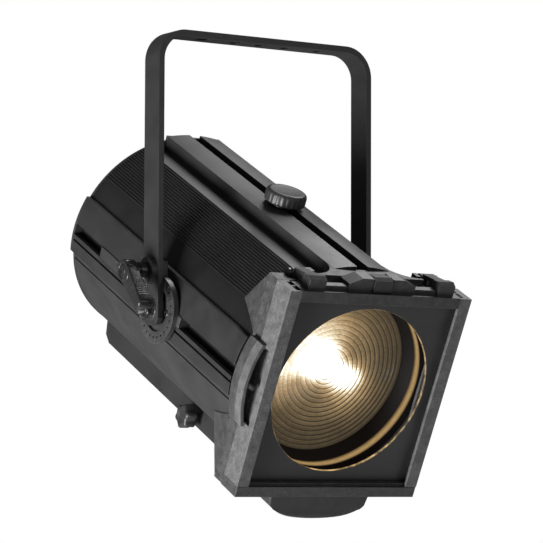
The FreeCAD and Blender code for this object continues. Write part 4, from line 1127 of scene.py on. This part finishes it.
@dataclass
class Carriage:
    """The lamp, its reflector and the sled that the focus knob draws along."""

    def build(self) -> None:
        """Dress the carriage's nodes."""
        dress({"carriage_bushes": BRASS, "sled": MACHINED, "carriage_strap": ZINC, "reflector": MIRROR,
               "reflector_bracket": ZINC, "lampholder": STEATITE, "lamp_base": STEATITE, "lamp_glass": QUARTZ,
               "lamp_filament": TUNGSTEN, "focus_slider": STEEL, "focus_stud": STEEL,
               "knob_washer": BLACK_STEEL})


@dataclass
class FocusKnob:
    """The fluted knob on the top rail.

    Attributes:
        flutes: Number of hollows round it.
        flute_deep: Their depth.
    """

    flutes: int = 24
    flute_deep: float = 0.55 * MM

    def build(self) -> None:
        """Build the knob with a rolled shoulder and a dished top."""
        low, high = LAMP.extent("focus_knob")
        radius, tall = (high.x - low.x) / 2, high.z - low.z
        grip = lobed(radius, self.flute_deep, self.flutes, 1.6)
        faded = lobed(radius * 0.975, self.flute_deep * 0.5, self.flutes, 1.6)
        mesh = spun([
            (0.2 * MM, 0), (0.2 * MM, radius * 0.5), (0, radius * 0.52), (0, radius * 0.9),
            (tall * 0.06, radius * 0.965),
            (tall * 0.1, grip), (tall * 0.4, grip), (tall * 0.74, grip), (tall * 0.85, faded),
            (tall * 0.93, radius * 0.925), (tall * 0.98, radius * 0.87), (tall, radius * 0.8),
            (tall * 0.985, radius * 0.72), (tall * 0.955, radius * 0.5), (tall * 0.945, radius * 0.2),
            (tall * 0.944, 0),
        ], self.flutes * 8)
        moved(mesh, LAMP.matrix @ Matrix.Translation(seat((low, high), 2, low.z)))
        settle("fluted_focus_knob", mesh, MOULDED, Body.FOCUS_KNOB, "focus_knob", sharp_angle=40)


@dataclass
class AccessKnob:
    """The lobed knob on the side of the terminal box.

    Attributes:
        lobes: Number of lobes.
        hollow: Depth between them.
        head: Length of the lobed head.
        shank: Radius of its shank.
    """

    lobes: int = 6
    hollow: float = 2.6 * MM
    head: float = 15.0 * MM
    shank: float = 3.0 * MM

    def build(self) -> None:
        """Build the knob, its neck and its shank."""
        low, high = LAMP.extent("access_knob")
        radius, whole = (high.y - low.y) / 2, high.x - low.x
        grip = lobed(radius, self.hollow, self.lobes, 0.8)
        inner = lobed(radius * 0.93, self.hollow * 0.95, self.lobes, 0.8)
        crown = lobed(radius * 0.8, self.hollow * 0.7, self.lobes, 0.8)
        start = whole - self.head
        mesh = spun([
            (0, 0), (0, self.shank), (start, self.shank), (start, radius * 0.5),
            (start + 2 * MM, radius * 0.55),
            (start + 2.6 * MM, inner), (start + 3.6 * MM, grip), (whole - 2.6 * MM, grip),
            (whole - 1.0 * MM, inner),
            (whole - 0.2 * MM, crown), (whole, radius * 0.5), (whole - 0.6 * MM, radius * 0.42),
            (whole - 0.6 * MM, 0),
        ], self.lobes * 16)
        moved(mesh, LAMP.matrix @ towards((-1, 0, 0), seat((low, high), 0, high.x)))
        settle("lobed_access_knob", mesh, MOULDED, Body.ACCESS_KNOB, "access_knob", sharp_angle=35)


@dataclass
class ClampLever:
    """The lever that locks the tilt, with its hub, oval boss and cap screw.

    Attributes:
        thick: The arm's thickness at its hub.
        grip: Its thickness at the tip.
        hub: The hub's radius.
        tip: The tip's radius.
        grip_ribs: Number of ribs along its front edge.
        rib: A rib's width along the arm.
        screw_shank: Radius of the cap screw's shank.
        screw_below: How far that shank goes down.
    """

    thick: float = 13.0 * MM
    grip: float = 16.0 * MM
    hub: float = 10.25 * MM
    tip: float = 6.15 * MM
    grip_ribs: int = 9
    rib: float = 1.5 * MM
    screw_shank: float = 3.6 * MM
    screw_below: float = 0.4 * MM

    def capsule(self, near: float, far: float, reach: float, start: float = 0.0,
                count: int = 20) -> list[tuple[float, float]]:
        """Draw a tapered capsule along -Y from the origin.

        Args:
            near: Radius at the hub.
            far: Radius at the tip.
            reach: Distance from hub to tip.
            start: How far along the reach it starts, as a share.
            count: Points on each end.

        Returns:
            The outline's points.
        """
        ends = []
        for radius, place, first in ((near, -reach * start, 0.0), (far, -reach, math.pi)):
            for i in range(count + 1):
                angle = first + math.pi * i / count
                ends.append((radius * math.cos(angle), place + radius * math.sin(angle)))
        return ends

    def build(self) -> None:
        """Build the lever and its screw."""
        low, high = UPRIGHT.extent("clamp_lever")
        screw_low, screw_high = UPRIGHT.extent("clamp_lever_screw")
        centre = seat((screw_low, screw_high), 0, low.x)
        reach_y, reach_z = centre.y - (low.y + self.tip), centre.z - (low.z + self.tip)
        reach = math.hypot(reach_y, reach_z)
        lean = math.atan2(reach_y, reach_z)
        turn = Matrix.Translation(centre) @ Matrix.Rotation(lean, 4, "X").inverted() @ Matrix(
            ((0, 0, 1, 0), (1, 0, 0, 0), (0, 1, 0, 0), (0, 0, 0, 1)))
        outline = self.capsule(self.hub, self.tip, reach)
        arm = join(softened(skin([[Vector((x, y, z)) for x, y in outline] for z in (0.6 * MM, self.thick)]),
                            1.4 * MM, 4),
                   softened(skin([[Vector((x, y, z)) for x, y in self.capsule(
                       self.hub * 0.8, self.tip * 0.98, reach, start=0.42)] for z in (1.2 * MM, self.grip)]),
                            1.2 * MM, 4))
        oval = Matrix.Translation((0, -self.hub * 0.22, 0)) @ Matrix.Diagonal((1, 1.2, 1, 1))
        boss = spun([
            (self.thick * 0.5, self.hub * 0.96), (1.6 * MM, self.hub * 0.96), (0.3 * MM, self.hub * 0.9),
            (0, self.hub * 0.8), (0, self.hub * 0.68), (3 * MM, self.hub * 0.66), (3 * MM, self.hub * 0.4),
            (self.thick * 0.5, self.hub * 0.4),
        ], 64, wrap=True)
        long = high.x - low.x
        hub = spun([
            (self.thick * 0.4, self.hub * 0.74), (self.thick + 3 * MM, self.hub * 0.74),
            (self.thick + 3.4 * MM, self.hub * 0.7), (self.thick + 4.6 * MM, self.hub * 0.7),
            (self.thick + 5 * MM, self.hub * 0.8), (long - 0.8 * MM, self.hub * 0.8), (long, self.hub * 0.72),
            (long, self.hub * 0.42),
            (self.thick * 0.4, self.hub * 0.42),
        ], 64, wrap=True)
        rib_at = Vector((-self.hub * 0.775, -reach * 0.46, self.grip / 2))
        bar = skin([[Vector((x, y, z)) + rib_at for x, y in (
            (0.9 * MM, -self.rib * 0.5), (-0.3 * MM, -self.rib * 0.35), (-0.55 * MM, 0),
            (-0.3 * MM, self.rib * 0.35),
            (0.9 * MM, self.rib * 0.5))] for z in (-self.grip * 0.38, self.grip * 0.38)])
        slope = (self.hub * 0.8 - self.tip) / (reach * 0.58)
        gap = self.rib * 1.55
        ribs = Repeater.in_line().grow(bar, Count=self.grip_ribs, Gap=(gap * slope, -gap, 0.0),
                                       Finish=MOULDED.material())
        lever = moved(join(arm, moved(boss, oval), hub, ribs), UPRIGHT.matrix @ turn)
        settle("clamp_lever_arm", lever, GLOSSY, Body.LEVER, "clamp_lever", sharp_angle=38)
        head = CapScrew((screw_high.y - screw_low.y) / 2 * 0.96, screw_high.x - screw_low.x, self.screw_shank,
                        self.screw_below)
        at = Vector((screw_high.x, centre.y, centre.z))
        screw = moved(head.build(), UPRIGHT.matrix @ towards((-1, 0, 0), at))
        settle("clamp_cap_screw", screw, BLACK_STEEL, Body.LEVER, "clamp_lever_screw")


@dataclass
class Yoke:
    """The hanging strap with its pivot bolts, nuts and clamp.

    Attributes:
        nut_bore: Radius of a pivot nut's bore.
    """

    nut_bore: float = 5.06 * MM

    def build(self) -> None:
        """Build the nuts and dress the rest."""
        nuts = []
        for side, (low, high) in zip((Side.LEFT, Side.RIGHT), UPRIGHT.solids("pivot_nuts")):
            across = max(high.y - low.y, high.z - low.z)
            nut = HexNut(across, high.x - low.x, self.nut_bore).build()
            foot = seat((low, high), 0, high.x if side is Side.LEFT else low.x)
            nuts.append(set_on([foot], moved(nut, towards((side.value, 0, 0))), Vector((1, 0, 0)),
                               BLACK_STEEL, 5))
        settle("pivot_hex_nuts", moved(join(*nuts), UPRIGHT.matrix), BLACK_STEEL, Body.YOKE, "pivot_nuts",
               sharp_angle=25)
        dress({"yoke": SATIN_STEEL, "pivot_bolt_left": NICKEL, "pivot_bolt_right": NICKEL,
               "pivot_washers": STEEL, "clamp_stud": STEEL, "clamp_collar": MOULDED, "clamp_pad": MOULDED})


@dataclass
class TiltDiscs:
    """The graduated discs, the bars behind them and their screws.

    Attributes:
        marks: Number of graduations.
        inner: Where a graduation starts, as a share of the disc's radius.
        outer: Where it ends.
        wide: Its width.
        proud: How far it stands up.
        bite: How far it reaches into the disc.
        head_high: Height of a disc screw's head.
        shank: Radius of its shank.
        shank_long: Length of its shank.
    """

    marks: int = 24
    inner: float = 0.88
    outer: float = 0.96
    wide: float = 0.45 * MM
    proud: float = 0.12 * MM
    bite: float = 0.05 * MM
    head_high: float = 2.2 * MM
    shank: float = 1.95 * MM
    shank_long: float = 4.0 * MM

    def build(self) -> None:
        """Build the graduations and screws, and dress the rest."""
        marks, screws = [], []
        for side in Side:
            low, high = LAMP.extent(f"tilt_disc_{side.word}")
            radius = (high.y - low.y) / 2
            face = low.x if side is Side.LEFT else high.x
            tops = sorted((face - side.value * self.bite, face + side.value * self.proud))
            mark = skin([[Vector((x, y, z)) for y, z in (
                (-self.wide / 2, radius * self.inner), (self.wide / 2, radius * self.inner),
                (self.wide / 2, radius * self.outer), (-self.wide / 2, radius * self.outer))] for x in tops])
            step = 2 * math.pi / self.marks
            marks.append(Repeater.round_axis().grow(
                mark, Count=self.marks, Step=step, Start=step / 2, Axis=(1.0, 0.0, 0.0),
                Finish=INK.material()))
            boxes = [box for box in LAMP.solids("disc_screws") if box[0].x * side.value > 0]
            first_low, first_high = boxes[0]
            outer_x = first_low.x if side is Side.LEFT else first_high.x
            head = CapScrew((first_high.y - first_low.y) / 2, self.head_high, self.shank,
                            self.shank_long).build()
            spots = [seat(box, 0, outer_x - side.value * self.head_high) for box in boxes]
            screws.append(set_on(spots, moved(head, towards((side.value, 0, 0))), Vector((1, 0, 0)),
                                 BLACK_STEEL, 3))
        settle("disc_graduations", moved(join(*marks), LAMP.matrix), INK, Body.DISCS)
        settle("disc_cap_screws", moved(join(*screws), LAMP.matrix), BLACK_STEEL, Body.DISCS, "disc_screws")
        dress({"tilt_disc_left": DISC, "tilt_disc_right": DISC, "slide_bar_left": GREY_BAR,
               "slide_bar_right": GREY_BAR})


@dataclass
class RibbedShell:
    """One upper shell: a curved panel with fine cooling ribs.

    Attributes:
        side: Which side it is on.
        ribs: Number of ribs.
        pitch: Angle from rib to rib, in degrees.
        start: Angle of the first rib above the horizontal.
        wide: A rib's width at its foot.
        high: Its height.
        wall: The panel's thickness.
        facets: Number of flats round the panel.
    """

    side: Side
    ribs: int = 18
    pitch: float = 1.5
    start: float = 59.2
    wide: float = 1.5 * MM
    high: float = 1.0 * MM
    wall: float = 3.0 * MM
    facets: int = 40

    def build(self) -> None:
        """Build the panel and its ribs."""
        node = f"upper_shell_{self.side.word}"
        low, high = LAMP.extent(node)
        inner_x = high.x if self.side is Side.LEFT else low.x
        radius = math.hypot(low.z, high.x if self.side is Side.RIGHT else low.x)
        first, last = math.asin(low.z / radius), math.acos(abs(inner_x) / radius)
        arc = [first + (last - first) * i / self.facets for i in range(self.facets + 1)]
        flip = self.side.value
        rim = [(flip * r * math.cos(a), r * math.sin(a)) for r, run in (
            (radius, arc), (radius - self.wall, arc[::-1])) for a in run]
        panel = skin([[Vector((x, y, z)) for x, z in rim] for y in (low.y, high.y)])
        crest, half = radius + self.high, self.wide / 2
        rib = [(-half, radius - 0.8 * MM), (half, radius - 0.8 * MM), (half, radius + 0.25 * MM),
               (half * 0.75, crest - 0.2 * MM), (half * 0.4, crest), (-half * 0.4, crest),
               (-half * 0.75, crest - 0.2 * MM), (-half, radius + 0.25 * MM)]
        bar = skin([[Vector((z, y, x)) for x, z in rib] for y in (low.y, high.y)])
        grown = Repeater.round_axis().grow(
            bar, Count=self.ribs, Step=flip * math.radians(self.pitch),
            Start=-flip * math.radians(self.start),
            Axis=(0.0, 1.0, 0.0), Finish=RIBBED.material())
        if self.side is Side.LEFT:
            grown.transform(Matrix.Rotation(math.pi, 4, "Y"))
        settle(f"ribbed_shell_{self.side.word}", moved(join(panel, grown), LAMP.matrix), RIBBED,
               Body.HOUSING, node)


@dataclass
class Housing:
    """The extruded housing, the terminal box under it and the rear plate.

    Attributes:
        gland_ribs: Number of ribs on the gland's dome nut.
        gland_groove: Depth between them.
        rear_shank: Radius of a rear screw's shank.
    """

    gland_ribs: int = 16
    gland_groove: float = 0.45 * MM
    rear_shank: float = 2.1 * MM

    def gland(self) -> None:
        """Build the cable gland: hexagonal foot, ribbed dome nut and its mouth."""
        low, high = LAMP.extent("cable_gland")
        radius, long = (high.z - low.z) / 2, high.y - low.y
        six = hexagonal(high.x - low.x)
        ribbed = lobed(radius * 0.93, self.gland_groove, self.gland_ribs)
        mesh = spun([
            (0, radius * 0.5), (0, radius * 0.78), (long * 0.44, radius * 0.78), (long * 0.44, six),
            (long * 0.6, six),
            (long * 0.62, radius * 0.8), (long * 0.65, ribbed), (long * 0.84, ribbed),
            (long * 0.93, radius * 0.78), (long, radius * 0.62), (long, radius * 0.5),
            (long * 0.9, radius * 0.48),
        ], self.gland_ribs * 6, wrap=True)
        moved(mesh, LAMP.matrix @ towards((0, 1, 0), seat((low, high), 1, low.y)))
        settle("ribbed_gland", mesh, NYLON, Body.HOUSING, "cable_gland", sharp_angle=28)

    def rear_screws(self) -> None:
        """Set a cap screw on each corner of the rear plate."""
        boxes = LAMP.solids("rear_screws")
        low, high = boxes[0]
        plate = LAMP.extent("rear_plate")[1].y
        head = CapScrew((high.x - low.x) / 2, high.y - plate, self.rear_shank, plate - low.y).build()
        spots = [seat(box, 1, plate) for box in boxes]
        grown = set_on(spots, moved(head, towards((0, 1, 0))), Vector((0, 1, 0)), BLACK_STEEL, 8)
        settle("rear_cap_screws", moved(grown, LAMP.matrix), BLACK_STEEL, Body.HOUSING, "rear_screws")

    def build(self) -> None:
        """Build the shells, the gland and the screws, and dress the rest."""
        for side in Side:
            RibbedShell(side).build()
        self.gland()
        self.rear_screws()
        dress({"top_rail": SATIN, "side_rail_left": SATIN, "side_rail_right": SATIN,
               "lower_shell_left": SATIN_PAINTED_LIT,
               "lower_shell_right": SATIN_PAINTED_LIT, "bottom_panel": SATIN_STEEL, "terminal_box": SATIN_STEEL,
               "terminal_block": STEATITE, "rear_plate": SATIN_STEEL, "tie_rods": STEEL, "guide_rods": STEEL})


@dataclass
class Holder:
    """The front casting, the colour-frame runners, the retainer and the grip.

    Attributes:
        grip_wall: The grip's wall.
        grip_round: The rounding of its front edge.
        grip_points: Steps along the bowl's outline.
        screw_stand: How far a thumb screw's knurl starts behind the screw's front end.
        knurl: Length of the knurl.
        tip: Radius of the turned-down tip.
        tip_long: Length of the tip.
        shank: Radius of the shank.
    """

    grip_wall: float = 3.5 * MM
    grip_round: float = 3.0 * MM
    grip_points: int = 24
    screw_stand: float = 17.5 * MM
    knurl: float = 15.2 * MM
    tip: float = 2.5 * MM
    tip_long: float = 2.3 * MM
    shank: float = 2.15 * MM

    def grip(self) -> None:
        """Build the hollow grip as one skin that turns in at its open back."""
        low, high = LAMP.extent("front_handle")
        half, roof, floor = high.x, high.z, low.z
        tall = roof - floor

        def outline(shrink: float) -> list[tuple[float, float]]:
            """Draw the bowl's outline, drawn in by a margin."""
            wide = half - shrink
            top, bottom = roof - shrink, floor + shrink
            points = [(-wide, top)]
            for i in range(self.grip_points + 1):
                share = -1 + 2 * i / self.grip_points
                drop = (1 - abs(share) ** 5) * 0.62 + (1 - share * share) * 0.38
                shoulder = top - 0.42 * tall
                points.append((wide * (0.97 * share), shoulder - (shoulder - bottom) * drop))
            points.append((wide, top))
            return points

        def ring(shrink: float, y: float) -> list[Vector]:
            """Place an outline at a depth."""
            return [Vector((x, y, z)) for x, z in outline(shrink)]

        front, back, r = low.y, high.y, self.grip_round
        rings = [ring(self.grip_wall * 1.3, front + self.grip_wall),
                 ring(self.grip_wall, front + self.grip_wall * 1.4),
                 ring(self.grip_wall, back - 0.8 * MM), ring(self.grip_wall * 0.8, back),
                 ring(0.6 * MM, back),
                 ring(0, back - 0.8 * MM), ring(0, front + r)]
        for i in range(1, 5):
            angle = math.radians(22.5 * i)
            rings.append(ring(r * (1 - math.cos(angle)), front + r * (1 - math.sin(angle))))
        rings.append(ring(r * 1.9, front + 0.15 * MM))
        mesh = moved(skin(rings), LAMP.matrix)
        settle("hollow_grip", mesh, MOULDED, Body.HOUSING, "front_handle", sharp_angle=50)

    def thumb_screws(self) -> None:
        """Set the knurled screws that hold the runners."""
        boxes = LAMP.solids("holder_screws")
        low, high = boxes[0]
        foot = low.y + self.screw_stand
        screw = ThumbScrew((high.x - low.x) / 2, self.knurl, self.tip, self.tip_long, self.shank,
                           high.y - foot).build()
        spots = [seat(box, 1, foot) for box in boxes]
        grown = set_on(spots, moved(screw, towards((0, -1, 0))), Vector((0, 1, 0)), BLACK_STEEL, 4)
        settle("knurled_screws", moved(grown, LAMP.matrix), BLACK_STEEL, Body.HOUSING, "holder_screws")

    def build(self) -> None:
        """Build the grip and screws, and dress the rest."""
        self.grip()
        self.thumb_screws()
        dress({"front_casting": CAST, "hinge_ears": CAST_PAINTED_SHADE, "runner_left": CAST_PAINTED_LIT,
               "runner_right": CAST_PAINTED_LIT,
               "colour_frame": GATE, "retainer": CAST_PAINTED_SHADE, "hinge_pins": BLACK_STEEL,
               "latch_button": MOULDED})


# ---------------------------------------------------------------- studio

@dataclass(frozen=True)
class Softbox:
    """An area light aimed at the lantern.

    Attributes:
        name: The light's name.
        place: Where it stands.
        size: Its width and its height.
        power: Its power in watts.
    """

    name: str
    place: tuple[float, float, float]
    size: float
    power: float


@dataclass
class Studio:
    """The floor, the light and the camera.

    Attributes:
        eye: Where the camera stands.
        heading: Degrees it turns from +Y towards +X.
        climb: Degrees it looks up.
        roll: Degrees it leans.
        lens_mm: Its focal length.
        drop: How far the floor is below the lantern.
        sky: Strength of the plain light from all round.
        floor_radius: The floor's radius.
        floor_thick: The floor's thickness.
        sensor_mm: Width of the camera's sensor.
        boxes: The softboxes.
    """

    eye: tuple[float, float, float] = (-1.516, -2.360, -0.4402)
    heading: float = 32.96
    climb: float = 4.24
    roll: float = 0.22
    lens_mm: float = 185.2
    drop: float = 0.9
    sky: float = 0.11
    floor_radius: float = 4.02
    floor_thick: float = 0.02
    sensor_mm: float = 36.0
    boxes: tuple[Softbox, ...] = (
        Softbox("key", (-1.85, -0.15, -1.05), 0.9, 84),
        Softbox("top", (0.9, 0.3, 1.5), 0.9, 26),
        Softbox("fill", (0.9, -2.3, 0.2), 1.2, 5.5),
    )

    def floor(self) -> None:
        """Lay a wide pale floor with a sloped rim."""
        low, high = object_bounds()
        centre, level = (low + high) / 2, low.z - self.drop
        under = level - self.floor_thick
        profile = [(under, 0), (under, self.floor_radius - self.floor_thick), (level, self.floor_radius),
                   (level, 0)]
        mesh = moved(spun(profile, 96), Matrix.Translation((centre.x, centre.y, 0)))
        piece = as_object("floor", mesh)
        graph = Graph("floor_paint")
        cloud = graph.noise(graph.place(), 300.0, 3.0, 0.5)
        tone = graph.blend(cloud, (0.86, 0.86, 0.86), (0.9, 0.9, 0.9))
        piece.data.materials.append(graph.close(Base_Color=tone, Roughness=0.8))
        piece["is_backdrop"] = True

    def light(self) -> None:
        """Hang the softboxes and set the world: white to look at, gentler as a light."""
        low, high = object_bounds()
        middle = (low + high) / 2
        for box in self.boxes:
            lamp = bpy.data.lights.new(box.name, "AREA")
            lamp.shape = "RECTANGLE"
            lamp.size = lamp.size_y = box.size
            lamp.energy = box.power
            holder = bpy.data.objects.new(box.name, lamp)
            holder.location = box.place
            holder.rotation_euler = (middle - Vector(box.place)).to_track_quat("-Z", "Y").to_euler()
            bpy.context.scene.collection.objects.link(holder)
        world = bpy.data.worlds.new("studio")
        bpy.context.scene.world = world
        world.use_nodes = True
        tree = world.node_tree
        tree.nodes.clear()
        seen, cast = (tree.nodes.new("ShaderNodeBackground") for _ in range(2))
        seen.inputs["Color"].default_value = cast.inputs["Color"].default_value = (1, 1, 1, 1)
        seen.inputs["Strength"].default_value, cast.inputs["Strength"].default_value = 1.0, self.sky
        path, mix = tree.nodes.new("ShaderNodeLightPath"), tree.nodes.new("ShaderNodeMixShader")
        out = tree.nodes.new("ShaderNodeOutputWorld")
        tree.links.new(path.outputs["Is Camera Ray"], mix.inputs[0])
        tree.links.new(cast.outputs[0], mix.inputs[1])
        tree.links.new(seen.outputs[0], mix.inputs[2])
        tree.links.new(mix.outputs[0], out.inputs["Surface"])

    def camera(self) -> None:
        """Stand the camera at the viewing angle."""
        data = bpy.data.cameras.new("camera")
        data.lens, data.sensor_width = self.lens_mm, self.sensor_mm
        data.clip_start, data.clip_end = 0.05, 60.0
        eye = bpy.data.objects.new("camera", data)
        heading, climb = math.radians(self.heading), math.radians(self.climb)
        look = Vector((math.sin(heading) * math.cos(climb), math.cos(heading) * math.cos(climb),
                       math.sin(climb)))
        turn = look.to_track_quat("-Z", "Y").to_matrix() @ Matrix.Rotation(math.radians(self.roll), 3, "Z")
        eye.rotation_euler = turn.to_euler()
        eye.location = self.eye
        bpy.context.scene.collection.objects.link(eye)
        bpy.context.scene.camera = eye
        bpy.context.scene.view_settings.view_transform = "Standard"

    def build(self) -> None:
        """Set up the whole studio."""
        self.floor()
        self.light()
        self.camera()


def main() -> None:
    """Build every sub-assembly in order, then the studio."""
    logging.basicConfig(level=logging.INFO, format="%(name)s: %(message)s")
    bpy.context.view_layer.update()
    for assembly in (Yoke(), ClampLever(), TiltDiscs(), Housing(), Optics(), Carriage(), FocusKnob(),
                     AccessKnob(),
                     Holder()):
        assembly.build()
        LOG.info("%s is done", type(assembly).__name__)
    Studio().build()


if __name__ == "__main__":
    main()
